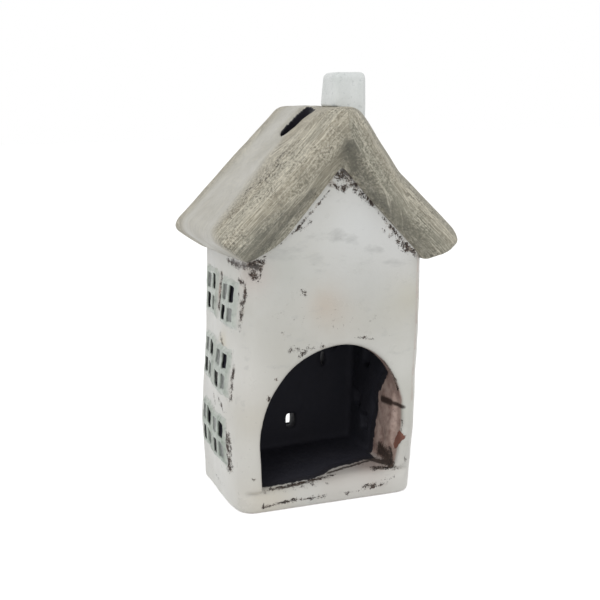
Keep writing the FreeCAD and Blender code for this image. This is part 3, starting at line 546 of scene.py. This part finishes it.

# Grime with painted shade under the eaves and in the corners, and grey brush smears, in the same form.
WALL_GRIME_AND_SHADE = [
    ((34, -22, 14), (33.5, -13, 15), 6.0, 1.25), ((32.5, -26.5, 12), (27, -13, 11), 4.2, 1.1),
    ((-34, -12, 104), (-33, -27, 103.8), 3.0, 0.85), ((-33, -29, 104.5), (-29, FRONT, 103.5), 2.8, 1.05),
    ((-30.5, FRONT, 102), (-29.6, FRONT, 99), 1.5, 0.90), ((29, -17, 56), (22, -20, 63), 3.0, 0.8),
    ((34.5, -29, 48), (27, -29, 59), 1.8, 0.75), ((9, FRONT, 141), (12, FRONT, 138.5), 3.0, 1.0),
    ((35, FRONT, 110), (43, FRONT, 102), 1.6, 0.85), ((-27, -27.4, 9), (3, -25.6, 9.4), 1.6, 0.8),
    ((4, -22, 10.2), (27, -15.5, 11.5), 2.4, 0.85),
    ((41, -20, 103.5), (41, 20, 103.5), 2.4, 0.8), ((8, BACK, 141), (12, BACK, 138), 3.0, 0.9),
]
WALL_SMEARS = [
    ((5, FRONT, 114), (14, FRONT, 113), 5.0, 1.0), ((-9, FRONT, 113), (2, FRONT, 117), 4.0, 0.7),
    ((-14, FRONT, 120), (-6, FRONT, 122), 2.6, 1.0), ((20, FRONT, 108), (34, FRONT, 110), 5.0, 0.8),
    ((-22, FRONT, 108), (-12, FRONT, 110), 4.0, 0.9), ((-4, FRONT, 104), (30, FRONT, 102), 7.0, 0.55),
    ((-16, BACK, 112), (12, BACK, 116), 5.0, 0.9), ((18, BACK, 104), (34, BACK, 108), 4.5, 0.8),
]

# Lighter and darker spots on the off-white glaze, as (spot, reach, colour, strength); the pale ones on the
# front edges, the gable's top and the strip under the sill are partly painted light.
WALL_TINTS = [
    ((0, FRONT, 86), 9, (0.56, 0.45, 0.35), 0.50),
    ((6, FRONT, 82), 14, (0.55, 0.49, 0.41), 0.35),
    ((38, FRONT, 86), 13, (0.58, 0.55, 0.44), 0.50),
    ((16, FRONT, 118), 25, (0.715, 0.725, 0.715), 0.85),
    ((-37, -30, 60), 15, (0.74, 0.73, 0.69), 0.60),
    ((-37, -30, 25), 14, (0.70, 0.69, 0.65), 0.55),
    ((-18, FRONT, 101), 16, (0.51, 0.52, 0.48), 0.60),
    ((18, FRONT, 92), 16, (0.55, 0.56, 0.54), 0.50),
    ((-22, FRONT, 68), 20, (0.49, 0.48, 0.42), 0.60),
    ((-30, FRONT, 40), 17, (0.58, 0.54, 0.45), 0.60),
    ((-27, FRONT, 6), 14, (0.60, 0.54, 0.43), 0.65),
    ((37, FRONT, 40), 16, (0.62, 0.62, 0.55), 0.45),
    ((26, FRONT, 76), 16, (0.53, 0.52, 0.46), 0.40),
    ((-30, -28, 100), 9, (0.62, 0.53, 0.49), 0.60),
    ((-38, -22, 60), 20, (0.74, 0.73, 0.70), 0.70),
    ((-38, -20, 15), 24, (0.71, 0.70, 0.66), 0.70),
    ((-36, -8, 68), 7, (0.55, 0.49, 0.35), 0.90),
    ((-35, GAP_MIDDLE, 90), 4, (0.46, 0.31, 0.25), 0.80),
    ((4, -26, 10), 12, (0.46, 0.40, 0.36), 0.50),
    ((22, -22, 11), 13, (0.44, 0.36, 0.33), 0.85),
    ((12, FRONT - 1, 4), 24, (0.69, 0.68, 0.64), 0.75),
    ((40, FRONT, 60), 15, (0.70, 0.70, 0.65), 0.60),
    ((34, FRONT, 108), 13, (0.72, 0.72, 0.71), 0.70),
    ((34, FRONT - 1, 5), 10, (0.72, 0.71, 0.67), 0.70),
    ((10, BACK, 60), 24, (0.57, 0.54, 0.47), 0.50),
    ((-14, BACK, 100), 18, (0.52, 0.52, 0.48), 0.50),
    ((42, 0, 60), 22, (0.57, 0.56, 0.49), 0.45),
]


def tinted(places, spots):
    """The colour and strength of the tint at each point."""
    tint = np.zeros((len(places), 4))
    tint[:, :3] = 0.6
    for spot, reach, colour, strength in spots:
        gap = np.linalg.norm(places - np.array(spot, float), axis=1) / reach
        share = strength * np.exp(-gap * gap * 1.6)
        total = share + tint[:, 3]
        weight = np.divide(share, total, out=np.zeros_like(share), where=total > 1e-9)[:, None]
        tint[:, :3] = tint[:, :3] * (1 - weight) + np.array(colour) * weight
        tint[:, 3] = 1 - (1 - tint[:, 3]) * (1 - share)
    return tint


def chamber_depth(places):
    """How far past the edge of the off-white glaze each point lies, in millimetres: above 0 it is in
    the dark. The sill stays pale for 6 mm on the left and 17 mm on the right, and the right jamb for
    24 mm low down. The holes behind the plaques are painted dark as well, which is painted shade."""
    x, y, z = places.T
    mid_wall, plaque_frame, hole_mouth = SIDE_THICKNESS / 2, 2.2, 0.9
    outside, hole_shade = -20.0, 12.0
    within = (x > left_face(z) + mid_wall) & (x < right_face(z) - mid_wall)
    within &= (y < BACK - mid_wall) & (z > 4)
    sill = 6.0 + 8.0 * ramp(x, -4, 12) + 3.0 * ramp(x, 14, 28)
    jamb = np.where(x > 15, np.interp(z, [22, 34, 40, 44, 48, 53, 58, 64, 70],
                                      [24.5, 22.5, 21.5, 18.5, 15.5, 12.5, 10, 7, 4.5]), 5.4)
    pale = np.where((z < 14.5) & (x < 30), sill, jamb)
    depth = np.where(within, y - FRONT - pale, outside)
    for window in SIDE_WINDOWS + BACK_WINDOWS + ["back_door"]:
        low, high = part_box(window)
        middle, half = (low + high) / 2 / MM, (high - low) / 2 / MM
        across = abs(y - middle.y) < half.y - plaque_frame
        if window.startswith("back"):
            across = (abs(x - middle.x) < half.x - plaque_frame) & (y > 0)
        elif window.startswith("left"):
            across &= x < left_face(z) + SIDE_THICKNESS - hole_mouth
        else:
            across &= x > right_face(z) - SIDE_THICKNESS + hole_mouth
        behind = across & (abs(z - middle.z) < half.z - plaque_frame)
        depth = np.where(behind, hole_shade, depth)
    return depth


WALL_NODES = ["base_slab", "front_gable_wall", "back_gable_wall", "left_wall", "right_wall"]
JAMB_CHIP = [((34.5, -28.0, 25), (34.5, -26.0, 20.5), 3.7, 1.3)]
JAMB_CRACK = [
    ((34, -12, 37.8), (34.2, -21, 38.4), 2.7, 1.0),
    ((34.2, -21, 38.4), (35, FRONT, 38.3), 1.7, 0.9),
]
UNDER_FOOT = 0.25

# The pat closes the lights of the right wall's middle and bottom front plaques from inside.
blind_pat = ((31.4, -20, 14), (33.8, -1, 68))
walls = luted("walls", WALL_NODES, grain=0.86, raise_above=100, plugs=[blind_pat])
sponged(walls, rounds=6)
at_rest = read_places(walls)
x, y, z = at_rest.T
for finish, strokes in (("worn", WALL_STROKES), ("smear", WALL_SMEARS), ("grime", WALL_GRIME_AND_SHADE),
                        ("crack", JAMB_CRACK)):
    write_float(walls, finish, rubbed(at_rest, strokes))
write_float(walls, "bare", np.maximum(rubbed(at_rest, JAMB_CHIP), z < UNDER_FOOT))

# The raw clay of the right jamb starts just inside the arch, and a little further in low down.
raw_starts = FRONT + 0.6 + 1.2 * (1 - ramp(z, 36, 42))
on_jamb = ramp(x, 15, 22) * ramp(z, 10, 14) * (x < right_face(z) - 2.5)
write_float(walls, "reveal", ramp(y, raw_starts, raw_starts + 1.8) * (1 - ramp(y, -6, -3)) * on_jamb)
inside = chamber_depth(at_rest)
write_float(walls, "chamber", inside)
tint_layer = walls.attributes.new("tint", "FLOAT_COLOR", "POINT")
tint_layer.data.foreach_set("color", tinted(at_rest, WALL_TINTS).astype(np.float32).ravel())
write_places(walls, hand_pressed(at_rest))
chamber_glaze = make_chamber_glaze("chamber_glaze", (0.036, 0.037, 0.048), (0.041, 0.041, 0.051))
finished(walls, [make_wall_glaze(), chamber_glaze], WALL_NODES, inner=inside > 3.5)

# ---------------------------------------------------------------- roof
# Two thick slopes of clay, like thatch, joined at the ridge, with rolled verges that draw in to the
# walls and a leaf-shaped smoke vent. It was combed with a stiff brush, washed in grey-green and
# cream, and sponged back, so the wash stays in the brush lines and the pits.

# Each peak is where that slope's straight top, drawn on, would stand over the rounded ridge.
RIDGE = 8.3
LEFT_PEAK, LEFT_SLOPE = 172.1, math.radians(44.6)
RIGHT_PEAK, RIGHT_SLOPE, FLARE_SLOPE = 178.6, math.radians(56.3), math.radians(44.4)
FLARE_X = RIDGE + 25.9
VERGE_FRONT, VERGE_BACK = FRONT - 8, BACK + 9


def roof_lay(places):
    """Each point as the roof's maker sees it: how far down its slope it is from the ridge, how far
    back, and how deep under the slope's top, in millimetres."""
    x, y, z = places.T
    left_down = (RIDGE - x) * math.cos(LEFT_SLOPE) + (LEFT_PEAK - z) * math.sin(LEFT_SLOPE)
    left_deep = (LEFT_PEAK - z) * math.cos(LEFT_SLOPE) - (RIDGE - x) * math.sin(LEFT_SLOPE)
    right_down = (x - RIDGE) * math.cos(RIGHT_SLOPE) + (RIGHT_PEAK - z) * math.sin(RIGHT_SLOPE)
    right_deep = (RIGHT_PEAK - z) * math.cos(RIGHT_SLOPE) - (x - RIDGE) * math.sin(RIGHT_SLOPE)
    flare_z = RIGHT_PEAK - (FLARE_X - RIDGE) * math.tan(RIGHT_SLOPE)
    foot_deep = (flare_z - z) * math.cos(FLARE_SLOPE) - (x - FLARE_X) * math.sin(FLARE_SLOPE)
    right_deep = np.where(x > FLARE_X, np.minimum(right_deep + 99, foot_deep), right_deep)
    on_left = x < RIDGE
    return np.stack([np.where(on_left, -left_down, right_down), y,
                     np.where(on_left, left_deep, right_deep)], axis=1)


def brushed(lay):
    """Each point as the brush went over it: how far along its sweep, and how far across. The sweeps
    run down the right slope and the verges, and on the left slope bend round to follow the ridge."""
    down, y, deep = lay.T
    inward = ramp(np.minimum(y - VERGE_FRONT, VERGE_BACK - y), 6, 26)
    bent = inward * (1 - ramp(down, -6, 2))
    u, v = bent * (abs(down) - 80) / 80, y / VERGE_BACK
    across_roll = deep * (2.4 - 1.8 * inward)
    return np.stack([abs(down) + abs(y), 39 * np.hypot(u, v) + across_roll, 20 * ramp(down, -3, 3)], axis=1)


def make_roof_glaze():
    material, tree, shader = new_material("roof_glaze", (0.50, 0.49, 0.43))
    sweep = layer(tree, "sweep", "Vector")
    coarse = layer(tree, "coarse")
    verge_olive_shade = layer(tree, "verge_olive_shade")
    worked = larger(tree, coarse, verge_olive_shade)
    clouds = placed(tree, MOTTLE, Size=16.0, Seed=51.0, Contrast=1.6)
    patches = placed(tree, MOTTLE, Size=4.0, Seed=57.0, Contrast=1.8)

    # pale grey where the top was left smooth, beige and olive where it was worked, and on the verges an olive
    # laid by which way each spot faces, which is partly painted shade
    smooth_tone = over(tree, (0.535, 0.520, 0.470, 1), (0.465, 0.450, 0.395, 1), clouds)
    worked_tone = over(tree, (0.440, 0.398, 0.306, 1), (0.300, 0.270, 0.204, 1), patches)
    colour = over(tree, smooth_tone, worked_tone, coarse)
    olive_shade = over(tree, (0.310, 0.298, 0.236, 1), (0.205, 0.203, 0.160, 1), clouds)
    colour = over(tree, colour, olive_shade, times(tree, verge_olive_shade, 0.85))

    # brush lines, broad and fine, along the sweep, with the waver of a hand
    waver = times(tree, grain_noise(tree, 15.0, 63.0, detail=2.0), 2.6)
    waver = node(tree, "ShaderNodeCombineXYZ", {"Y": waver}).outputs[0]
    sweep = node(tree, "ShaderNodeVectorMath", {0: sweep, 1: waver}, operation="ADD").outputs[0]
    streaks = grain_noise(tree, 1.0, 61.0, detail=6.0, roughness=0.76, stretch=(0.10, 0.95, 0.5), place=sweep)
    strokes = grain_noise(tree, 1.0, 67.0, detail=2.0, stretch=(0.03, 0.30, 0.5), place=sweep)
    # a painted highlight along the verges' rim lifts the cream brush lines there
    lifted = plus(tree, times(tree, layer(tree, "rim"), 0.20), times(tree, minus(tree, strokes, 0.5), 0.50))
    cream = (0.700, 0.660, 0.545, 1)
    lines = between(tree, plus(tree, streaks, lifted), 0.515, 0.63)
    lines = times(tree, lines, between(tree, worked, 0.0, 1.0, 0.15, 0.82))
    colour = over(tree, colour, cream, lines)
    shade_brown = (0.135, 0.125, 0.092, 1)
    shade = between(tree, minus(tree, streaks, times(tree, lifted, 0.7)), 0.46, 0.33)
    shade = times(tree, shade, between(tree, worked, 0.0, 1.0, 0.06, 0.62))
    colour = over(tree, colour, shade_brown, shade)

    # a fine speckle of cream and dark in places, and open pits
    speck = grain_noise(tree, 0.95, 71.0, detail=5.0, roughness=0.82)
    spots = placed(tree, MOTTLE, Size=12.0, Seed=73.0, Contrast=2.2)
    spots = plus(tree, times(tree, spots, 0.7), 0.05)
    specked = times(tree, larger(tree, layer(tree, "speckle"), spots), worked)
    pale_specks = times(tree, between(tree, speck, 0.52, 0.56), specked)
    colour = over(tree, colour, cream, times(tree, pale_specks, 0.85))
    speck_dark = (0.100, 0.092, 0.070, 1)
    dark_specks = times(tree, between(tree, speck, 0.475, 0.43), specked)
    colour = over(tree, colour, speck_dark, times(tree, dark_specks, 0.95))
    pit_dark = (0.024, 0.020, 0.017, 1)
    pits = placed(tree, FLECKS, Worn=layer(tree, "worn"), Size=0.7, Seed=77.0)
    colour = over(tree, colour, pit_dark, pits)

    # dirt in the seams, with painted shade in the groove at the ridge's front and under the verges by the
    # walls, and the soot-black of the loft and the vent, which is also painted shade
    dirt_and_shade_edge = grain_noise(tree, 2.2, 79.0, detail=4.0, roughness=0.7)
    dirt_and_shade = between(tree, plus(tree, layer(tree, "dirt_and_shade"), times(tree, dirt_and_shade_edge, 1.5)), 0.85, 1.70)
    dirt_and_shade_brown = (0.105, 0.103, 0.082, 1)
    colour = over(tree, colour, dirt_and_shade_brown, times(tree, dirt_and_shade, 0.80))
    soot_and_shade_black = (0.010, 0.010, 0.013, 1)
    colour = over(tree, colour, soot_and_shade_black, ragged(tree, layer(tree, "hollow"), dirt_and_shade_edge, 1.2, 0.40, 0.55))
    tree.links.new(colour, shader.inputs["Base Color"])

    rough = plus(tree, between(tree, clouds, 0.0, 1.0, 0.36, 0.50), times(tree, coarse, 0.14))
    tree.links.new(dulled(tree, rough, pits, 0.85), shader.inputs["Roughness"])
    skin = placed(tree, SKIN, Ripple=0.16, Peel=0.02, Seed=4.0)
    combed = times(tree, streaks, plus(tree, times(tree, coarse, 0.22), 0.10))
    tooth = times(tree, speck, plus(tree, times(tree, specked, 0.26), 0.02))
    height = plus(tree, skin, plus(tree, combed, tooth))
    embossed(tree, shader, minus(tree, height, times(tree, pits, 0.25)))
    return material


# Pits and cracks on the roof, the dirt in its seams with painted shade where the verges meet at the ridge and
# where they draw in to the walls, and its speckled parts, as strokes of (from, to, reach, strength).
ROOF_STROKES = [
    ((-37.2, -25, 125.3), (-37.6, -24.6, 125.0), 1.0, 1.0),
    ((-32, -24, 130.6), (-25, -27, 136.0), 2.2, 0.66),
    ((-36, -25, 124), (-16, -27, 144), 13.0, 0.50),
    ((-42, -22, 119.5), (-44, -21, 118), 1.8, 0.60),
    ((-24, -23, 138), (-18, -20, 144), 2.0, 0.62),
    ((3.5, 1, 165.8), (7.5, -1, 166.8), 2.0, 0.80),
    ((6.5, -19.4, 166.5), (10, -21, 166.5), 1.9, 1.0),
    ((12, FRONT, 141), (46, FRONT, 104), 1.1, 0.72),
    ((7, FRONT, 143), (-28, FRONT, 108), 0.8, 0.60),
]
ROOF_DIRT_AND_SHADE = [
    ((RIDGE, VERGE_FRONT + 1, 150), (RIDGE + 3, VERGE_FRONT + 4, 141), 6.0, 1.30),
    ((RIDGE + 2, VERGE_FRONT + 3, 142), (RIDGE + 8, VERGE_FRONT + 3, 134), 6.5, 1.25),
    ((RIDGE + 6, VERGE_FRONT + 4, 137), (46, VERGE_FRONT + 4, 100), 6.5, 0.98),
    ((-6, VERGE_FRONT + 6, 132), (-36, VERGE_FRONT + 6, 103), 5.0, 0.90),
    ((-20, VERGE_FRONT + 1, 124), (-40, VERGE_FRONT + 2, 109), 8.0, 0.62),
    ((RIDGE, VERGE_BACK - 1, 159), (RIDGE + 1, VERGE_BACK - 5, 146), 4.0, 0.80),
    ((RIDGE + 12, VERGE_FRONT + 9, 160), (52, VERGE_FRONT + 8, 114), 2.0, 0.55),
]

ROOF_SPECKLES = [
    ((-38, -22, 122), (-14, -27, 146), 16.0, 1.1),
    ((30, 10, 135), (44, 24, 118), 20.0, 0.9),
    ((-30, 30, 130), (-12, 26, 146), 16.0, 0.9),
]

ROOF_NODES = ["roof_left_slope", "roof_right_slope"]
roof = luted("roof", ROOF_NODES, grain=0.72)
sponged(roof, rounds=12)
at_rest = read_places(roof)
x, y, z = at_rest.T
lay = roof_lay(at_rest)
down, deep = lay[:, 0], lay[:, 2]
sweep_layer = roof.attributes.new("sweep", "FLOAT_VECTOR", "POINT")
sweep_layer.data.foreach_set("vector", brushed(lay).astype(np.float32).ravel())
for finish, strokes in (("worn", ROOF_STROKES), ("dirt_and_shade", ROOF_DIRT_AND_SHADE), ("speckle", ROOF_SPECKLES)):
    write_float(roof, finish, rubbed(at_rest, strokes))

# The verges, coloured by which way each spot faces: a painted highlight along the rim where they turn towards
# the top, and olive below it, partly painted shade, which is thin high up on the left. Forward is how far a
# spot faces out and down.
facing = np.empty(len(roof.vertices) * 3)
roof.vertices.foreach_get("normal", facing)
facing = facing.reshape(-1, 3)
forward = facing[:, 1] * np.sign(y) - 0.55 * facing[:, 2]
on_verge = np.minimum(y - VERGE_FRONT, VERGE_BACK - y) < 13
rim = np.exp(-((forward - 0.25) / 0.30) ** 2) * (1 + 1.5 * (x > RIDGE))
write_float(roof, "rim", rim * on_verge)
olive_shade = ramp(forward, 0.58, 1.05) * np.where(x < RIDGE, 1 - 0.55 * ramp(z, 116, 130), 1)
write_float(roof, "verge_olive_shade", olive_shade * on_verge)

# Where the brush worked the clay: the front, the right slope, the back, and less so on the left by
# the ridge.
worked = 1 - ramp(y - 0.40 * (z - 150), -19, -5)
worked = np.maximum(worked, ramp(down, -4, 14))
worked = np.maximum(worked, 0.85 * ramp(y, 14, 30))
worked = np.maximum(worked, 0.6 * ramp(down, -26, -6) * (1 - ramp(y, -6, 12)))
write_float(roof, "coarse", np.clip(worked, 0.08, 1.0))

# The dark inside, soot-black and painted shade: the loft, from a little within the clay round it, and the
# vent, from just under the slope's top.
VENT_X, VENT_Y, VENT_TURN = -2.1, -6.0, math.radians(54)
LOFT_DEPTH, LOFT_BACK, LOFT_SIDE = 7.6, BACK - 7.2, 5.5
in_hollow = (abs(y) < LOFT_BACK) & (deep > LOFT_DEPTH)
in_hollow &= (x > left_face(z) + LOFT_SIDE) & (x < right_face(z) - LOFT_SIDE)
long_way = (x - VENT_X) * math.cos(VENT_TURN) - (y - VENT_Y) * math.sin(VENT_TURN)
short_way = (x - VENT_X) * math.sin(VENT_TURN) + (y - VENT_Y) * math.cos(VENT_TURN)
in_vent = ((long_way / 11.2) ** 2 + (short_way / 5.6) ** 2 < 1) & (deep > 0.9) & (deep < 10)
write_float(roof, "hollow", (in_hollow | in_vent).astype(float))

# The vent was opened with a knife's tip: a little wider, and a little shorter.
on_vent = (1 - ramp(abs(long_way), 10, 16)) * (1 - ramp(abs(short_way), 9, 13)) * (x < RIDGE)
wider = on_vent * np.sign(short_way) * np.interp(abs(short_way), [0, 4.8, 12], [0, 1.4, 0])
shorter = on_vent * np.interp(long_way, [-16, -9, 0, 9, 17], [0, 1.8, 0, -3.2, 0])
shift_x = wider * math.sin(VENT_TURN) + shorter * math.cos(VENT_TURN)
shift_y = wider * math.cos(VENT_TURN) - shorter * math.sin(VENT_TURN)
at_rest += np.stack([shift_x, shift_y, shift_x * math.tan(LEFT_SLOPE)], axis=1)
write_places(roof, hand_pressed(at_rest))
# the loft's inner faces in near-black soot, which is also painted shade inside the roof
loft_soot_and_shade = make_chamber_glaze("loft_soot_and_shade", (0.010, 0.009, 0.013), (0.014, 0.013, 0.017))
finished(roof, [make_roof_glaze(), loft_soot_and_shade], ROOF_NODES, inner=in_hollow | in_vent)

# ---------------------------------------------------------------- chimney
# A small solid block of clay, cut square by hand, set on the ridge while the roof was soft, and
# dipped in a cool white glaze that is glossier than the walls' and breaks grey in its dents.


def make_chimney_glaze():
    material, tree, shader = new_material("chimney_glaze", (0.84, 0.86, 0.87))
    clouds = placed(tree, MOTTLE, Size=6.0, Seed=81.0, Contrast=1.7)
    dents = placed(tree, MOTTLE, Size=1.8, Seed=83.0, Contrast=2.0)
    colour = over(tree, (0.78, 0.805, 0.795, 1), (0.69, 0.72, 0.705, 1), clouds)
    dent_grey = (0.55, 0.585, 0.58, 1)
    colour = over(tree, colour, dent_grey, times(tree, between(tree, dents, 0.86, 1.0), 0.5))
    fleck_dark = (0.045, 0.042, 0.040, 1)
    flecks = placed(tree, FLECKS, Worn=layer(tree, "worn"), Size=0.7, Seed=87.0)
    colour = over(tree, colour, fleck_dark, flecks)
    tree.links.new(colour, shader.inputs["Base Color"])
    rough = between(tree, clouds, 0.0, 1.0, 0.20, 0.32)
    tree.links.new(dulled(tree, rough, flecks, 0.7), shader.inputs["Roughness"])
    skin = placed(tree, SKIN, Ripple=0.22, Peel=0.01, Seed=6.0)
    embossed(tree, shader, minus(tree, skin, times(tree, flecks, 0.1)))
    return material


CHIMNEY_FOOT, CHIMNEY_TOP, DRAWN_IN = 166, 181, 0.9
FOOT_STROKE = ((RIDGE - 6, 0, 167), (RIDGE + 12, 0, 165), 2.0, 0.6)

chimney = luted("chimney_block", ["chimney"], grain=0.5)
sponged(chimney, rounds=5)
at_rest = read_places(chimney)
x, y, z = at_rest.T
write_float(chimney, "worn", rubbed(at_rest, [FOOT_STROKE]))
at_rest[:, 0] += DRAWN_IN * ramp(z, CHIMNEY_FOOT, CHIMNEY_TOP) * (1 - ramp(x, RIDGE, RIDGE + 8))
write_places(chimney, hand_pressed(at_rest))
finished(chimney, [make_chimney_glaze()], ["chimney"])

# ---------------------------------------------------------------- windows and door
# Thin plaques cut from rolled clay with a knife, each pierced by two panes and pressed in for the
# other two, and stuck to the walls with slip. Their grey-green glaze pools dark in the panes and
# thins to a paler green on the bars and the frame's edge.


def make_window_glaze():
    material, tree, shader = new_material("window_glaze", (0.55, 0.58, 0.54))
    clouds = placed(tree, MOTTLE, Size=5.0, Seed=91.0, Contrast=1.8)
    patches = placed(tree, MOTTLE, Size=1.6, Seed=93.0, Contrast=1.8)
    colour = over(tree, (0.545, 0.585, 0.535, 1), (0.350, 0.390, 0.350, 1), clouds)
    green = over(tree, (0.385, 0.445, 0.375, 1), (0.215, 0.265, 0.215, 1), clouds)
    colour = over(tree, colour, green, layer(tree, "green"))
    pale_patch = (0.590, 0.615, 0.570, 1)
    colour = over(tree, colour, pale_patch, times(tree, patches, 0.4))
    pale_edge = (0.610, 0.615, 0.582, 1)
    edge = times(tree, layer(tree, "edge"), between(tree, patches, 0.0, 1.0, 0.45, 1.0))
    colour = over(tree, colour, pale_edge, edge)
    pool = over(tree, (0.185, 0.200, 0.182, 1), (0.085, 0.092, 0.085, 1), patches)
    colour = over(tree, colour, pool, layer(tree, "pane"))
    # the sides of the pierced panes, painted near black: painted shade of the dark hole behind them
    hole_shade_dark = (0.012, 0.012, 0.014, 1)
    colour = over(tree, colour, hole_shade_dark, layer(tree, "through_shade"))
    fleck_brown = (0.055, 0.034, 0.026, 1)
    flecks = placed(tree, FLECKS, Worn=layer(tree, "worn"), Size=0.62, Seed=97.0)
    colour = over(tree, colour, fleck_brown, flecks)
    tree.links.new(colour, shader.inputs["Base Color"])
    rough = between(tree, patches, 0.0, 1.0, 0.26, 0.42)
    tree.links.new(dulled(tree, rough, flecks, 0.75), shader.inputs["Roughness"])
    skin = placed(tree, SKIN, Ripple=0.10, Peel=0.02, Seed=8.0)
    embossed(tree, shader, minus(tree, skin, times(tree, flecks, 0.1)))
    return material


def make_plaque(node_name, number):
    """A plaque that keeps to its wall, with wandering edges and pools of glaze in its panes."""
    mesh = luted(f"{node_name}_plaque", [node_name], grain=0.34, swell=0.02)
    sponged(mesh, rounds=5)
    places = read_places(mesh)
    low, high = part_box(node_name)
    middle, half = np.array((low + high) / 2 / MM), np.array((high - low) / 2 / MM)
    x, y, z = places.T
    if node_name.startswith("left"):
        proud, across, wide, outward, out_axis = left_face(z) - x, y - middle[1], half[1], -1, 0
    elif node_name.startswith("right"):
        proud, across, wide, outward, out_axis = x - right_face(z), y - middle[1], half[1], 1, 0
    else:
        proud, across, wide, outward, out_axis = y - BACK, x - middle[0], half[0], 1, 1
    to_edge = np.minimum(wide - abs(across), half[2] - abs(z - middle[2]))
    sunk = 1 - ramp(proud, 0.70, 1.20)
    well_in = ramp(to_edge, 0.9, 2.0)
    write_float(mesh, "pane", sunk * well_in)
    # where a pane goes through, its sides are painted near black as shade
    write_float(mesh, "through_shade", well_in * (1 - ramp(proud, 0.30, 0.55)))
    write_float(mesh, "edge", 1 - ramp(to_edge, 0.3, 2.6))
    strength = 0.50 if node_name.endswith("front") else 0.30
    write_float(mesh, "worn", strength * (1 - ramp(across + wide, 0.2, 1.6)))
    green = 1.0 if "bottom" in node_name else 0.25 + 0.12 * (number % 3)
    write_float(mesh, "green", np.full(len(places), green))

    # the outer edge was thinned into the wall with a finger, and every edge wanders
    feather = np.zeros((len(places), 3))
    feather[:, out_axis] = outward * np.clip(proud, 0, 9) * -1.16 * (1 - ramp(to_edge, 0.0, 2.8))
    places = places + feather
    shift = (17.0 * number, 5.0 * number, 3.0)
    wobble = 0.75 * (wander(places, 5.0, shift) + 0.4 * wander(places, 2.4, shift))
    wobble[:, out_axis] *= 0.25
    write_places(mesh, hand_pressed(places + wobble * ramp(proud, -0.2, 0.6)[:, None]))
    return mesh


window_glaze = make_window_glaze()
for number, node_name in enumerate(SIDE_WINDOWS + BACK_WINDOWS + ["back_door"]):
    finished(make_plaque(node_name, number), [window_glaze], [node_name])

# ---------------------------------------------------------------- floor, light and camera
# A white floor under a white world, in soft light from a window on the left and a weaker fill on
# the right. The camera's place and lens are fitted to the corners of the house.


def direct_rays(tree):
    """1 for rays from the camera and for those that a gloss or a glass sends on, and 0 for the rest."""
    rays = node(tree, "ShaderNodeLightPath").outputs
    sent_on = larger(tree, rays["Is Glossy Ray"], rays["Is Transmission Ray"])
    return larger(tree, rays["Is Camera Ray"], sent_on)


def make_sweep():
    """A pale, flat floor, wide enough to fill the view; the camera sees it white, bar the shadow."""
    material, tree, shader = new_material("sweep_paper", (0.9, 0.9, 0.9))
    shader.inputs["Base Color"].default_value = (0.80, 0.80, 0.80, 1)
    shader.inputs["Roughness"].default_value = 0.9
    shader.inputs["Specular IOR Level"].default_value = 0.1
    glow = times(tree, direct_rays(tree), 0.60)
    white = node(tree, "ShaderNodeEmission", {"Color": (1, 1, 1, 1), "Strength": glow})
    lit = node(tree, "ShaderNodeAddShader", {0: shader.outputs[0], 1: white.outputs[0]})
    tree.links.new(lit.outputs[0], tree.nodes["Material Output"].inputs["Surface"])
    sheet = bmesh.new()
    bmesh.ops.create_grid(sheet, x_segments=1, y_segments=1, size=4.0)
    mesh = bpy.data.meshes.new("sweep")
    sheet.to_mesh(mesh)
    sheet.free()
    mesh.materials.append(material)
    floor = bpy.data.objects.new("sweep", mesh)
    bpy.context.scene.collection.objects.link(floor)


def make_world():
    world = bpy.data.worlds.new("studio")
    world.use_nodes = True
    tree = world.node_tree
    background = tree.nodes["Background"]
    background.inputs["Color"].default_value = (1, 1, 1, 1)
    strength = between(tree, direct_rays(tree), 0.0, 1.0, 0.62, 1.0)
    tree.links.new(strength, background.inputs["Strength"])
    bpy.context.scene.world = world


HOUSE_MIDDLE = Vector((0, 0, 0.08))


def add_lamp(name, place, size, power):
    """A round, soft lamp that points at the middle of the house."""
    lamp = bpy.data.lights.new(name, "AREA")
    lamp.shape = "DISK"
    lamp.size = size
    lamp.energy = power
    holder = bpy.data.objects.new(name, lamp)
    holder.location = place
    holder.rotation_euler = (HOUSE_MIDDLE - Vector(place)).to_track_quat("-Z", "Y").to_euler()
    bpy.context.scene.collection.objects.link(holder)


make_sweep()
make_world()
add_lamp("window", (-0.75, -0.75, 0.95), size=0.7, power=5.0)
add_lamp("fill", (0.9, -0.8, 0.5), size=0.9, power=1.6)

lens = bpy.data.cameras.new("camera")
lens.sensor_width = 36
lens.lens = 69
lens.clip_start = 0.01
camera = bpy.data.objects.new("camera", lens)
across = Vector((0.9346, -0.3553, -0.0165)).normalized()
back = -Vector((0.3471, 0.9212, -0.1757)).normalized()
up = back.cross(across).normalized()
camera.matrix_world = Matrix((across, up, back)).transposed().to_4x4()
camera.location = (-0.1743, -0.4635, 0.1716)
bpy.context.scene.collection.objects.link(camera)
bpy.context.scene.camera = camera
bpy.context.scene.view_settings.view_transform = "Standard"
